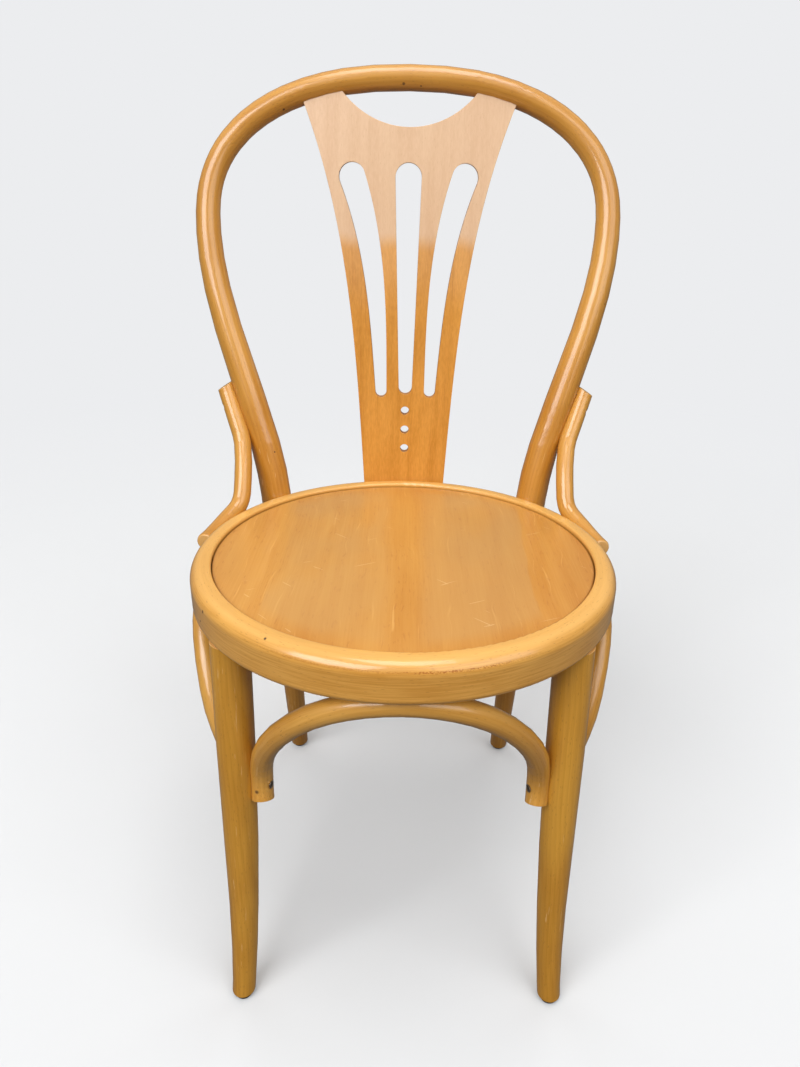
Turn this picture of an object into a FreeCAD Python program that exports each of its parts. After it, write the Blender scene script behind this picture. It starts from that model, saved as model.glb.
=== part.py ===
# Bentwood bistro chair: a bent hoop that is both back and rear legs, a bent seat ring with a
# plywood panel, a pierced moulded splat, two turned front legs, two hip braces and four arches.
# Millimetres. +X to the right as seen from the front, +Y to the back, +Z up.
import FreeCAD, Part
import math
import os

Vec = FreeCAD.Vector
UP = Vec(0, 0, 1)

# Seat ring and panel. The ring's land is its flat top, between its outer face and the panel.
SEAT_HEIGHT = 450.0
RING_DIAMETER = 412.0
RING_WIDTH = 32.0
RING_LAND = 20.0
RING_DEPTH = 38.0
RING_TOP_EDGE = 12.0
RING_BOTTOM_EDGE = 6.0
RING_INNER_EDGE = 2.5
PANEL_THICKNESS = 10.0
PANEL_RECESS = 4.0
PANEL_EDGE = 1.5
PANEL_GAP = 0.4

# Back hoop: the centreline of the bent rod. A RISE is above the seat and a DROP below the crown,
# where no other start is named.
HOOP_HALF_WIDTH = 221.8
HOOP_CROWN_HEIGHT = 887.6
HOOP_WIDEST_DROP = 142.6
HOOP_SHOULDER_POWER = 2.28
HOOP_SEAT_ANGLE = 46.2
HOOP_RING_SEAT = 5.9
HOOP_STILE_LEAN = 0.22
HOOP_CROWN_SETBACK = 269.8
HOOP_LEAN_POWER = 1.3
REAR_FOOT_HALF = 153.0
REAR_FOOT_SETBACK = 250.0
REAR_SABRE_POWER = 4.0
REAR_RAKE_POWER = 1.5

# Back hoop: diameters, and where the upper taper starts and ends
HOOP_CROWN_DIAMETER = 25.4
HOOP_SEAT_DIAMETER = 34.8
REAR_FOOT_DIAMETER = 24.0
HOOP_TAPER_START_RISE = 30.0
HOOP_TAPER_END_DROP = 97.6

# Front legs, their tops inside the ring's outer face
FRONT_LEG_INSET = 17.7
FRONT_LEG_ANGLE = 36.7
FRONT_FOOT_HALF = 160.5
FRONT_FOOT_FORWARD = 148.5
FRONT_SABRE_SIDE = 5.0
FRONT_SABRE_FORWARD = 10.0
FRONT_SABRE_POWER = 5.0
FRONT_LEG_DIAMETER = 35.6
FRONT_FOOT_DIAMETER = 23.0
FRONT_TAPER_START = 250.0
TENON_DIAMETER = 20.0
TENON_LENGTH = 18.0
TENON_END_GAP = 1.0
FOOT_EDGE = 3.0

# Arches under the ring, their ends below it and their crowns inside its outer face
ARCH_DIAMETER = 21.2
ARCH_RISE = 118.0
ARCH_SHOULDER_POWER = 1.6
ARCH_END_DROP = 163.0
ARCH_RING_SEAT = 0.8
ARCH_LEG_SEAT = 3.0
FRONT_ARCH_INSET = 19.0
SIDE_ARCH_INSET = 7.0
REAR_ARCH_INSET = 16.0
FRONT_ARCH_TURN = 17.0
SIDE_ARCH_FRONT_TURN = 28.0
SIDE_ARCH_REAR_TURN = 4.0
REAR_ARCH_TURN = 0.0

# Hip braces. The knee and the landing rise above the middle of the ring's depth.
BRACE_DIAMETER = 19.4
BRACE_TOP_RISE = 119.0
BRACE_TOP_SLOPE = 32.0
BRACE_PART_RISE = 68.0
BRACE_HOOP_SEAT = 1.2
BRACE_RING_SEAT = 0.5
BRACE_PART_TURN = 30.0
BRACE_KNEE_RISE = 45.0
BRACE_KNEE_OUT = 6.0
BRACE_KNEE_ANGLE = 34.7
BRACE_LANDING_RISE = 20.0
BRACE_LANDING_ANGLE = 30.8
BRACE_END_ANGLE = 12.5
BRACE_END_EDGE = 2.5

# Splat, its foot above the underside of the ring
SPLAT_THICKNESS = 9.0
SPLAT_FOOT_HALF = 47.5
SPLAT_HEAD_HALF = 113.5
SPLAT_FOOT_RISE = 3.0
SPLAT_HEAD_DROP = 30.6
SPLAT_STRAIGHT_SHARE = 0.35
SPLAT_FLARE_POWER = 3.5
SPLAT_RING_SEAT = 2.5
SPLAT_GROOVE = 8.0
SPLAT_SPARE_SHARE = 1.08
SCALLOP_RADIUS = 96.0
SCALLOP_BOTTOM_DROP = 48.6

# Splat slots and holes
SLOT_TOP_DROP = 83.6
CENTRE_SLOT_TOP_RADIUS = 14.6
CENTRE_SLOT_END_RADIUS = 7.8
CENTRE_SLOT_BOTTOM_RISE = 104.5
SIDE_SLOT_TOP_RADIUS = 14.6
SIDE_SLOT_END_RADIUS = 6.6
SIDE_SLOT_BOTTOM_RISE = 101.0
SIDE_SLOT_TOP_X = 62.6
SIDE_SLOT_END_X = 28.9
SLOT_STRAIGHT_SHARE = 0.28
SLOT_BOW_POWER = 3.2
HOLE_DIAMETER = 10.0
HOLE_TOP_RISE = 85.2
HOLE_PITCH = 23.0
HOLE_COUNT = 3

# Fasteners. Arch screws rise above the arch's end, bolts above the underside of the ring,
# and a brace's upper screw lies below its top.
SCREW_DIAMETER = 4.0
SCREW_HEAD_DIAMETER = 8.0
SCREW_HEAD_HEIGHT = 2.4
SCREW_TIP = 5.0
SCREW_SINK = 1.0
SCREW_SLOT_WIDTH = 1.2
SCREW_SLOT_DEPTH = 1.0
FRAME_SCREW_LENGTH = 38.0
SPLAT_SCREW_LENGTH = 30.0
SPLAT_SCREW_HALF = 28.0
ARCH_SCREW_RISE = 18.0
SIDE_ARCH_SCREW_RISE = 32.0
BRACE_SCREW_DROP = 22.0
BRACE_SCREW_SHARE = 0.33
BOLT_DIAMETER = 8.0
BOLT_RISE = 12.0
BOLT_HEAD_DIAMETER = 18.0
BOLT_HEAD_HEIGHT = 4.5
BOLT_SPOTFACE = 2.8
BOLT_TAIL = 3.0
WASHER_DIAMETER = 20.0
WASHER_THICKNESS = 1.6
WASHER_SPOTFACE = 0.6
WASHER_ROOM = 0.5
NUT_ACROSS_FLATS = 13.0
NUT_THICKNESS = 6.5

# Foot glides
GLIDE_HEIGHT = 4.0
GLIDE_DIAMETER = 18.0
GLIDE_EDGE = 1.5
GLIDE_NAIL_DIAMETER = 3.0
GLIDE_NAIL_LENGTH = 15.0

# How finely the bent rods are drawn
LEG_STEPS = 6
STILE_STEPS = 8
HEAD_STEPS = 7
ARCH_STEPS = 8
CURVE_STEPS = 6
BRACE_STEPS = 3
HEAD_SPREAD_POWER = 1.5
ROD_SAMPLES = 401
ROD_LENGTH = 150.0
HOOP_TURN = 6.0
FRONT_LEG_TURN = 4.0
ARCH_TURN = 10.0
BRACE_TURN = 10.0
TRIM_BLOCK = 72.0
SAME_PLACE = 0.01

# Worked-out places
RING_RADIUS = RING_DIAMETER / 2
RING_BOTTOM = SEAT_HEIGHT - RING_DEPTH
RING_MIDDLE = SEAT_HEIGHT - RING_DEPTH / 2
RING_BORE = RING_RADIUS - RING_WIDTH
RABBET_RADIUS = RING_RADIUS - RING_LAND
PANEL_RADIUS = RABBET_RADIUS - PANEL_GAP
PANEL_TOP = SEAT_HEIGHT - PANEL_RECESS
LEDGE_HEIGHT = PANEL_TOP - PANEL_THICKNESS
ARCH_RADIUS = ARCH_DIAMETER / 2
BRACE_RADIUS = BRACE_DIAMETER / 2
CROWN_RADIUS = HOOP_CROWN_DIAMETER / 2
HOOP_SEAT_RADIUS = RING_RADIUS + HOOP_SEAT_DIAMETER / 2 - HOOP_RING_SEAT
HOOP_SEAT_HALF = HOOP_SEAT_RADIUS * math.cos(math.radians(HOOP_SEAT_ANGLE))
HOOP_SEAT_SETBACK = HOOP_SEAT_RADIUS * math.sin(math.radians(HOOP_SEAT_ANGLE))
ORIGIN_SETBACK = (HOOP_CROWN_SETBACK + CROWN_RADIUS - RING_RADIUS) / 2
HOOP_WIDEST_HEIGHT = HOOP_CROWN_HEIGHT - HOOP_WIDEST_DROP
HOOP_TAPER_START = SEAT_HEIGHT + HOOP_TAPER_START_RISE
HOOP_TAPER_END = HOOP_CROWN_HEIGHT - HOOP_TAPER_END_DROP
ARCH_END_HEIGHT = RING_BOTTOM - ARCH_END_DROP
BRACE_TOP_HEIGHT = SEAT_HEIGHT + BRACE_TOP_RISE
BRACE_PART_HEIGHT = SEAT_HEIGHT + BRACE_PART_RISE
BRACE_SCREW_HEIGHT = BRACE_TOP_HEIGHT - BRACE_SCREW_DROP
BOLT_HEIGHT = RING_BOTTOM + BOLT_RISE
SPLAT_FOOT_HEIGHT = RING_BOTTOM + SPLAT_FOOT_RISE
SPLAT_HEAD_HEIGHT = HOOP_CROWN_HEIGHT - SPLAT_HEAD_DROP
SCALLOP_BOTTOM_HEIGHT = HOOP_CROWN_HEIGHT - SCALLOP_BOTTOM_DROP
SLOT_TOP_HEIGHT = HOOP_CROWN_HEIGHT - SLOT_TOP_DROP
CENTRE_SLOT_BOTTOM_HEIGHT = SEAT_HEIGHT + CENTRE_SLOT_BOTTOM_RISE
SIDE_SLOT_BOTTOM_HEIGHT = SEAT_HEIGHT + SIDE_SLOT_BOTTOM_RISE
HOLE_TOP_HEIGHT = SEAT_HEIGHT + HOLE_TOP_RISE


def polar(radius, degrees, height):
    """A point at a radius and an angle from +X, about the seat's upright axis."""
    angle = math.radians(degrees)
    return Vec(radius * math.cos(angle), radius * math.sin(angle), height)


def mix(start, end, share):
    return start + (end - start) * share


def unit(vector):
    return Vec(vector).normalize()


def level(vector):
    """The horizontal part of a vector, one long."""
    return unit(Vec(vector.x, vector.y, 0))


def mirrored(shape):
    """The same piece on the other side of the chair."""
    return shape.mirror(Vec(0, 0, 0), Vec(1, 0, 0))


def facing(shape, point, direction):
    """Moves a piece modelled along +Z at the origin to a point, turned to a direction."""
    placed = shape.copy()
    placed.Placement = FreeCAD.Placement(point, FreeCAD.Rotation(UP, direction))
    return placed


def smooth_curve(points):
    curve = Part.BSplineCurve()
    curve.interpolate(points)
    return curve


def stations(centreline, turn_limit):
    """Points along a centreline, closer together where it bends."""
    fine = centreline.discretize(ROD_SAMPLES)
    headings = [unit(centreline.tangent(centreline.parameter(point))[0]) for point in fine]
    measure = [0.0]
    for number in range(1, ROD_SAMPLES):
        turn = math.degrees(headings[number].getAngle(headings[number - 1]))
        length = fine[number].distanceToPoint(fine[number - 1])
        measure.append(measure[-1] + turn / turn_limit + length / ROD_LENGTH)
    pieces = 2 * math.ceil(measure[-1] / 2)
    chosen = []
    for piece in range(pieces + 1):
        target = measure[-1] * piece / pieces
        nearest = min(range(ROD_SAMPLES), key=lambda number: abs(measure[number] - target))
        chosen.append((fine[nearest], headings[nearest]))
    return chosen


def rod(points, diameter_at, turn_limit):
    """A bent, tapered round rod: circles square to the centreline, skinned into one solid.

    diameter_at gives the diameter for a height. turn_limit is the bend between two circles."""
    side = Vec(1, 0, 0)
    sections = []
    for point, along in stations(smooth_curve(points), turn_limit):
        side = unit(side - along * side.dot(along))
        circle = Part.makeCircle(diameter_at(point.z) / 2)
        turn = FreeCAD.Rotation(side, along.cross(side), along, "ZXY")
        circle.Placement = FreeCAD.Placement(point, turn)
        sections.append(Part.Wire([circle]))
    return Part.makeLoft(sections, True, True)


def revolved(outline):
    """Turns an outline of (radius, height) corners about the Z axis."""
    corners = [Vec(radius, 0, height) for radius, height in outline]
    face = Part.Face(Part.makePolygon(corners + corners[:1]))
    return face.revolve(Vec(0, 0, 0), UP, 360)


def rim(shape, radius, height):
    """The round edges of a turned piece at a radius and a height."""
    found = []
    for edge in shape.Edges:
        if isinstance(edge.Curve, Part.Circle):
            same_radius = abs(edge.Curve.Radius - radius) < SAME_PLACE
            if same_radius and abs(edge.Curve.Center.z - height) < SAME_PLACE:
                found.append(edge)
    return found


# Centrelines


def hoop_leg_point(height):
    """Rear leg: raked back and gently flared towards the foot."""
    drop = (RING_MIDDLE - height) / RING_MIDDLE
    flare, rake = drop ** REAR_SABRE_POWER, drop ** REAR_RAKE_POWER
    half = mix(HOOP_SEAT_HALF, REAR_FOOT_HALF, flare)
    setback = mix(HOOP_SEAT_SETBACK, REAR_FOOT_SETBACK, rake)
    return Vec(half, setback, height)


def hoop_setback(height):
    """The back leans away from the seat, starting upright."""
    rise = (height - RING_MIDDLE) / (HOOP_CROWN_HEIGHT - RING_MIDDLE)
    lean = rise ** HOOP_LEAN_POWER
    return mix(HOOP_SEAT_SETBACK, HOOP_CROWN_SETBACK, lean)


def hoop_stile_point(height):
    """Stile between the seat and the widest part of the hoop: it leans out, then turns upright."""
    rise = (height - RING_MIDDLE) / (HOOP_WIDEST_HEIGHT - RING_MIDDLE)
    lean = HOOP_STILE_LEAN * rise * (1 - rise) ** 2
    half = mix(HOOP_SEAT_HALF, HOOP_HALF_WIDTH, rise * rise * (3 - 2 * rise) + lean)
    return Vec(half, hoop_setback(height), height)


def head_outline(degrees, inset=0.0):
    """Half width and height on the rounded head, which is fuller than an ellipse."""
    power = 2 / HOOP_SHOULDER_POWER
    angle = math.radians(degrees)
    across, up = abs(math.cos(angle)) ** power, math.sin(angle) ** power
    half = (HOOP_HALF_WIDTH - inset) * across
    height = HOOP_WIDEST_HEIGHT + (HOOP_WIDEST_DROP - inset) * up
    return math.copysign(half, math.cos(angle)), height


def hoop_diameter(height):
    if height < RING_MIDDLE:
        return mix(REAR_FOOT_DIAMETER, HOOP_SEAT_DIAMETER, max(height, 0) / RING_MIDDLE)
    share = (height - HOOP_TAPER_START) / (HOOP_TAPER_END - HOOP_TAPER_START)
    return mix(HOOP_SEAT_DIAMETER, HOOP_CROWN_DIAMETER, min(max(share, 0), 1))


def front_leg_point(height):
    """Front leg: straight splay with a sabre curve out at the foot."""
    top = polar(RING_RADIUS - FRONT_LEG_INSET, -FRONT_LEG_ANGLE, RING_BOTTOM)
    drop = (RING_BOTTOM - height) / RING_BOTTOM
    straight = Vec(FRONT_FOOT_HALF - FRONT_SABRE_SIDE, FRONT_SABRE_FORWARD - FRONT_FOOT_FORWARD, 0)
    sabre = drop ** FRONT_SABRE_POWER
    x = mix(top.x, straight.x, drop) + FRONT_SABRE_SIDE * sabre
    y = mix(top.y, straight.y, drop) - FRONT_SABRE_FORWARD * sabre
    return Vec(x, y, height)


def front_leg_diameter(height):
    share = min(max(height, 0) / FRONT_TAPER_START, 1)
    return mix(FRONT_FOOT_DIAMETER, FRONT_LEG_DIAMETER, share)


# Turned and bent pieces


def seat_ring():
    outline = [
        (RING_BORE, RING_BOTTOM),
        (RING_RADIUS, RING_BOTTOM),
        (RING_RADIUS, SEAT_HEIGHT),
        (RABBET_RADIUS, SEAT_HEIGHT),
        (RABBET_RADIUS, LEDGE_HEIGHT),
        (RING_BORE, LEDGE_HEIGHT),
    ]
    ring = revolved(outline)
    ring = ring.makeFillet(RING_TOP_EDGE, rim(ring, RING_RADIUS, SEAT_HEIGHT))
    ring = ring.makeFillet(RING_BOTTOM_EDGE, rim(ring, RING_RADIUS, RING_BOTTOM))
    ring = ring.makeFillet(RING_INNER_EDGE, rim(ring, RABBET_RADIUS, SEAT_HEIGHT))
    return ring.makeFillet(RING_INNER_EDGE, rim(ring, RING_BORE, RING_BOTTOM))


def seat_panel():
    panel = Part.makeCylinder(PANEL_RADIUS, PANEL_THICKNESS, Vec(0, 0, LEDGE_HEIGHT))
    return panel.makeFillet(PANEL_EDGE, rim(panel, PANEL_RADIUS, PANEL_TOP))


def cut_foot(leg, foot_point):
    """Trims a leg level above its glide and rounds the cut edge."""
    corner = Vec(foot_point.x, foot_point.y, GLIDE_HEIGHT) - Vec(1, 1, 2) * (TRIM_BLOCK / 2)
    trimmed = leg.cut(Part.makeBox(TRIM_BLOCK, TRIM_BLOCK, TRIM_BLOCK, corner))
    edges = []
    for edge in trimmed.Edges:
        box = edge.BoundBox
        near = abs(box.Center.x - foot_point.x) < TRIM_BLOCK / 2
        if near and box.ZMax < GLIDE_HEIGHT + SAME_PLACE:
            edges.append(edge)
    return trimmed.makeFillet(FOOT_EDGE, edges)


def back_hoop():
    """The whole hoop, from one foot over the crown to the other foot."""
    half = []
    for step in range(LEG_STEPS):
        half.append(hoop_leg_point(mix(-GLIDE_DIAMETER, RING_MIDDLE, step / LEG_STEPS)))
    for step in range(STILE_STEPS):
        half.append(hoop_stile_point(mix(RING_MIDDLE, HOOP_WIDEST_HEIGHT, step / STILE_STEPS)))
    for step in range(HEAD_STEPS):
        width, height = head_outline(90 * (step / HEAD_STEPS) ** HEAD_SPREAD_POWER)
        half.append(Vec(width, hoop_setback(height), height))
    crown = Vec(0, HOOP_CROWN_SETBACK, HOOP_CROWN_HEIGHT)
    other = [Vec(-point.x, point.y, point.z) for point in reversed(half)]
    points = half + [crown] + other
    hoop = rod(points, hoop_diameter, HOOP_TURN)
    foot = hoop_leg_point(GLIDE_HEIGHT)
    hoop = cut_foot(hoop, foot)
    return cut_foot(hoop, Vec(-foot.x, foot.y, foot.z))


def front_leg():
    """Right front leg with its tenon."""
    heights = [mix(-GLIDE_DIAMETER, RING_BOTTOM, step / STILE_STEPS) for step in range(STILE_STEPS)]
    points = [front_leg_point(height) for height in heights + [RING_BOTTOM + TENON_DIAMETER]]
    leg = rod(points, front_leg_diameter, FRONT_LEG_TURN)
    top = front_leg_point(RING_BOTTOM)
    corner = top - Vec(1, 1, 0) * (TRIM_BLOCK / 2)
    leg = leg.cut(Part.makeBox(TRIM_BLOCK, TRIM_BLOCK, TRIM_BLOCK, corner))
    leg = cut_foot(leg, front_leg_point(GLIDE_HEIGHT))
    root = TENON_LENGTH / 2
    tenon = Part.makeCylinder(TENON_DIAMETER / 2, TENON_LENGTH + root, top - UP * root)
    return leg.fuse(tenon)


def leg_mortise():
    """Blind hole in the ring for a front leg's tenon."""
    top = front_leg_point(RING_BOTTOM)
    return Part.makeCylinder(TENON_DIAMETER / 2, TENON_LENGTH + TENON_END_GAP, top)


def arch_end(leg_point, leg_diameter, height, heading):
    """Where an arch's centreline runs beside a leg, on the side given by a heading."""
    centre = leg_point(height)
    reach = leg_diameter(height) / 2 + ARCH_RADIUS - ARCH_LEG_SEAT
    return centre + polar(reach, heading, 0)


def arch_path(first, second, crown_radius):
    """Centreline of an arch: half an ellipse wrapped round the seat's axis, with straight ends.

    first and second give the arch's centre beside each leg for a height."""
    crown_height = RING_BOTTOM - ARCH_RADIUS + ARCH_RING_SEAT
    spring = crown_height - ARCH_RISE
    start, end = first(spring), second(spring)
    start_angle = math.degrees(math.atan2(start.y, start.x))
    end_angle = math.degrees(math.atan2(end.y, end.x))
    if end_angle < start_angle:
        end_angle += 360
    path = [first(ARCH_END_HEIGHT)]
    for step in range(ARCH_STEPS + 1):
        turn = math.radians(mix(-90, 90, step / ARCH_STEPS))
        share = (1 + math.sin(turn)) / 2
        rise = max(math.cos(turn), 0)
        nearer = start if share < 0.5 else end
        end_radius = math.hypot(nearer.x, nearer.y)
        radius = mix(crown_radius, end_radius, (1 - rise) ** 2)
        shoulder = rise ** ARCH_SHOULDER_POWER
        height = spring + ARCH_RISE * shoulder
        path.append(polar(radius, mix(start_angle, end_angle, share), height))
    path.append(second(ARCH_END_HEIGHT))
    return path


def right_front_end(heading):
    return lambda height: arch_end(front_leg_point, front_leg_diameter, height, heading)


def right_rear_end(heading):
    return lambda height: arch_end(hoop_leg_point, hoop_diameter, height, heading)


def left_of(end):
    """The same end beside the leg on the other side of the chair."""
    return lambda height: Vec(-end(height).x, end(height).y, height)


def brace_beside_hoop(height):
    """Brace centre against the hoop: outside it at the top, turning forward round it below."""
    reach = hoop_diameter(height) / 2 + BRACE_RADIUS - BRACE_HOOP_SEAT
    share = max(BRACE_TOP_HEIGHT - height, 0) / (BRACE_TOP_HEIGHT - BRACE_PART_HEIGHT)
    return hoop_stile_point(height) + polar(reach, -BRACE_PART_TURN * share, 0)


def brace_beside_ring(share):
    """Brace centre against the ring: share runs from its level end (0) to where it lands (1)."""
    radius = RING_RADIUS + BRACE_RADIUS - BRACE_RING_SEAT
    angle = mix(BRACE_END_ANGLE, BRACE_LANDING_ANGLE, share)
    lift = share ** 2
    return polar(radius, angle, RING_MIDDLE + BRACE_LANDING_RISE * lift)


def hip_brace():
    """Right hip brace: down beside the hoop, then forward round the ring's outer face."""
    top = BRACE_TOP_HEIGHT + BRACE_DIAMETER
    points = []
    for step in range(BRACE_STEPS + 1):
        points.append(brace_beside_hoop(mix(top, BRACE_PART_HEIGHT, step / BRACE_STEPS)))
    knee_radius = RING_RADIUS + BRACE_RADIUS + BRACE_KNEE_OUT
    points.append(polar(knee_radius, BRACE_KNEE_ANGLE, RING_MIDDLE + BRACE_KNEE_RISE))
    for step in range(BRACE_STEPS + 1):
        points.append(brace_beside_ring(1 - step / BRACE_STEPS))
    brace = rod(points, lambda height: BRACE_DIAMETER, BRACE_TURN)
    end = brace_beside_ring(0)
    rounded = [edge for edge in brace.Edges if edge.BoundBox.Center.distanceToPoint(end) < BRACE_END_EDGE]
    brace = brace.makeFillet(BRACE_END_EDGE, rounded)
    slab = Part.makeBox(TRIM_BLOCK, TRIM_BLOCK, TRIM_BLOCK, Vec(-1, -1, 0) * (TRIM_BLOCK / 2))
    tilt = math.radians(BRACE_TOP_SLOPE)
    slope = Vec(math.sin(tilt), 0, math.cos(tilt))
    return brace.cut(facing(slab, brace_beside_hoop(BRACE_TOP_HEIGHT), slope))


# Splat


def bow(share, straight, power):
    """Rises from 0 to 1, partly straight and partly as a power curve."""
    return straight * share + (1 - straight) * share ** power


def splat_half_width(height):
    share = (height - SPLAT_FOOT_HEIGHT) / (SPLAT_HEAD_HEIGHT - SPLAT_FOOT_HEIGHT)
    spread = bow(max(share, 0), SPLAT_STRAIGHT_SHARE, SPLAT_FLARE_POWER)
    return mix(SPLAT_FOOT_HALF, SPLAT_HEAD_HALF, spread)


def prism_along_y(edges):
    """A block with the given front view, deep enough to cross the whole back."""
    face = Part.Face(Part.Wire(edges))
    face.translate(Vec(0, -RING_DIAMETER, 0))
    return face.extrude(Vec(0, 3 * RING_DIAMETER, 0))


def front_view(points):
    return [Vec(x, 0, z) for x, z in points]


def splat_sheet():
    """Moulded plywood seen from the side: upright at the ring, leaning with the hoop above."""
    front_foot = RING_RADIUS - SPLAT_RING_SEAT
    front_head = hoop_setback(SPLAT_HEAD_HEIGHT) - SPLAT_THICKNESS / 2
    front, rear = [], []
    for step in range(CURVE_STEPS + 1):
        share = SPLAT_SPARE_SHARE * step / CURVE_STEPS
        height = mix(SPLAT_FOOT_HEIGHT, SPLAT_HEAD_HEIGHT, share)
        slope = 2 * share * (front_head - front_foot) / (SPLAT_HEAD_HEIGHT - SPLAT_FOOT_HEIGHT)
        point = Vec(0, mix(front_foot, front_head, share * share), height)
        front.append(point)
        rear.append(point + unit(Vec(0, 1, -slope)) * SPLAT_THICKNESS)
    edges = [
        smooth_curve(front).toShape(),
        Part.makeLine(front[-1], rear[-1]),
        smooth_curve(rear).toShape(),
        Part.makeLine(rear[0], front[0]),
    ]
    face = Part.Face(Part.Wire(Part.__sortEdges__(edges)))
    face.translate(Vec(-HOOP_HALF_WIDTH, 0, 0))
    return face.extrude(Vec(2 * HOOP_HALF_WIDTH, 0, 0))


def splat_outline():
    """Front view of the splat: narrow at the ring and flared into two horns."""
    right = []
    for step in range(CURVE_STEPS + 3):
        height = mix(SPLAT_FOOT_HEIGHT, HOOP_CROWN_HEIGHT, step / (CURVE_STEPS + 2))
        right.append((splat_half_width(height), height))
    left = [(-x, z) for x, z in reversed(right)]
    right, left = front_view(right), front_view(left)
    edges = [
        smooth_curve(right).toShape(),
        Part.makeLine(right[-1], left[0]),
        smooth_curve(left).toShape(),
        Part.makeLine(left[-1], right[0]),
    ]
    return prism_along_y(edges)


def inside_hoop():
    """Everything in the hoop's opening, plus the depth of the groove that takes the horns."""
    inset = CROWN_RADIUS - SPLAT_GROOVE
    count = 4 * CURVE_STEPS
    head = [head_outline(180 * step / count, inset) for step in range(count + 1)]
    head = front_view(head)
    drop = Vec(0, 0, HOOP_WIDEST_HEIGHT)
    edges = [
        smooth_curve(head).toShape(),
        Part.makeLine(head[-1], head[-1] - drop),
        Part.makeLine(head[-1] - drop, head[0] - drop),
        Part.makeLine(head[0] - drop, head[0]),
    ]
    return prism_along_y(edges)


def slot(bottom, top, end_radius, top_radius):
    """A slot that widens upwards. bottom and top are the outline's lowest and highest points."""
    low, high = bottom[1] + end_radius, top[1] - top_radius
    centres = []
    for step in range(CURVE_STEPS + 1):
        share = step / CURVE_STEPS
        x = mix(bottom[0], top[0], bow(share, SLOT_STRAIGHT_SHARE, SLOT_BOW_POWER))
        centres.append(Vec(x, 0, mix(low, high, share)))
    spine = smooth_curve(centres)
    sides = ([], [])
    for step, centre in enumerate(centres):
        along = unit(spine.tangent(spine.parameter(centre))[0])
        across = Vec(along.z, 0, -along.x)
        radius = mix(end_radius, top_radius, step / CURVE_STEPS)
        sides[0].append(centre + across * radius)
        sides[1].append(centre - across * radius)
        if step == 0:
            lowest = centre - along * radius
        highest = centre + along * radius
    outer, inner = sides
    edges = [
        smooth_curve(outer).toShape(),
        Part.Arc(outer[-1], highest, inner[-1]).toShape(),
        smooth_curve(inner[::-1]).toShape(),
        Part.Arc(inner[0], lowest, outer[0]).toShape(),
    ]
    return prism_along_y(edges)


def hole_along_y(radius, x, height):
    start = Vec(x, -RING_DIAMETER, height)
    return Part.makeCylinder(radius, 3 * RING_DIAMETER, start, Vec(0, 1, 0))


def back_splat(ring):
    splat = splat_sheet().common(splat_outline()).common(inside_hoop())
    scallop = hole_along_y(SCALLOP_RADIUS, 0, SCALLOP_BOTTOM_HEIGHT + SCALLOP_RADIUS)
    side = slot(
        (SIDE_SLOT_END_X, SIDE_SLOT_BOTTOM_HEIGHT),
        (SIDE_SLOT_TOP_X, SLOT_TOP_HEIGHT),
        SIDE_SLOT_END_RADIUS,
        SIDE_SLOT_TOP_RADIUS,
    )
    centre = slot(
        (0, CENTRE_SLOT_BOTTOM_HEIGHT),
        (0, SLOT_TOP_HEIGHT),
        CENTRE_SLOT_END_RADIUS,
        CENTRE_SLOT_TOP_RADIUS,
    )
    holes = []
    for number in range(HOLE_COUNT):
        height = HOLE_TOP_HEIGHT - number * HOLE_PITCH
        holes.append(hole_along_y(HOLE_DIAMETER / 2, 0, height))
    for cutter in [scallop, side, mirrored(side), centre] + holes:
        splat = splat.cut(cutter)
    return splat.cut(ring).Solids[0]


# Fasteners. Each is modelled along +Z, the way it is driven, from the face that it sits on.


def wood_screw(length):
    head = SCREW_HEAD_DIAMETER / 2
    shank = SCREW_DIAMETER / 2
    outline = [
        (0, 0),
        (head, 0),
        (shank, SCREW_HEAD_HEIGHT),
        (shank, length - SCREW_TIP),
        (0, length),
    ]
    corner = Vec(-head, -SCREW_SLOT_WIDTH / 2, 0)
    groove = Part.makeBox(SCREW_HEAD_DIAMETER, SCREW_SLOT_WIDTH, SCREW_SLOT_DEPTH, corner)
    return revolved(outline).cut(groove)


def screw_room(length):
    """The space that a screw takes in the wood, with the well above its head."""
    head = SCREW_HEAD_DIAMETER / 2
    shank = SCREW_DIAMETER / 2
    outline = [
        (0, -2 * SCREW_HEAD_DIAMETER),
        (head, -2 * SCREW_HEAD_DIAMETER),
        (head, 0),
        (shank, SCREW_HEAD_HEIGHT),
        (shank, length - SCREW_TIP),
        (0, length),
    ]
    return revolved(outline)


def driven(surface_point, direction, length):
    """A screw and its room, with the head sunk a little below the surface."""
    seat = surface_point + direction * SCREW_SINK
    return facing(wood_screw(length), seat, direction), facing(screw_room(length), seat, direction)


def hexagon_nut():
    corner = NUT_ACROSS_FLATS / 2 / math.cos(math.radians(30))
    corners = [polar(corner, 60 * number, 0) for number in range(7)]
    nut = Part.Face(Part.makePolygon(corners)).extrude(UP * NUT_THICKNESS)
    return nut.cut(Part.makeCylinder(BOLT_DIAMETER / 2, NUT_THICKNESS))


def glide():
    """A nailed foot glide, standing on the floor at the origin."""
    disc = Part.makeCylinder(GLIDE_DIAMETER / 2, GLIDE_HEIGHT)
    disc = disc.makeFillet(GLIDE_EDGE, rim(disc, GLIDE_DIAMETER / 2, 0))
    nail_height = GLIDE_HEIGHT + GLIDE_NAIL_LENGTH
    nail = Part.makeCylinder(GLIDE_NAIL_DIAMETER / 2, nail_height - GLIDE_EDGE, UP * GLIDE_EDGE)
    return disc.fuse(nail).removeSplitter()


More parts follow.
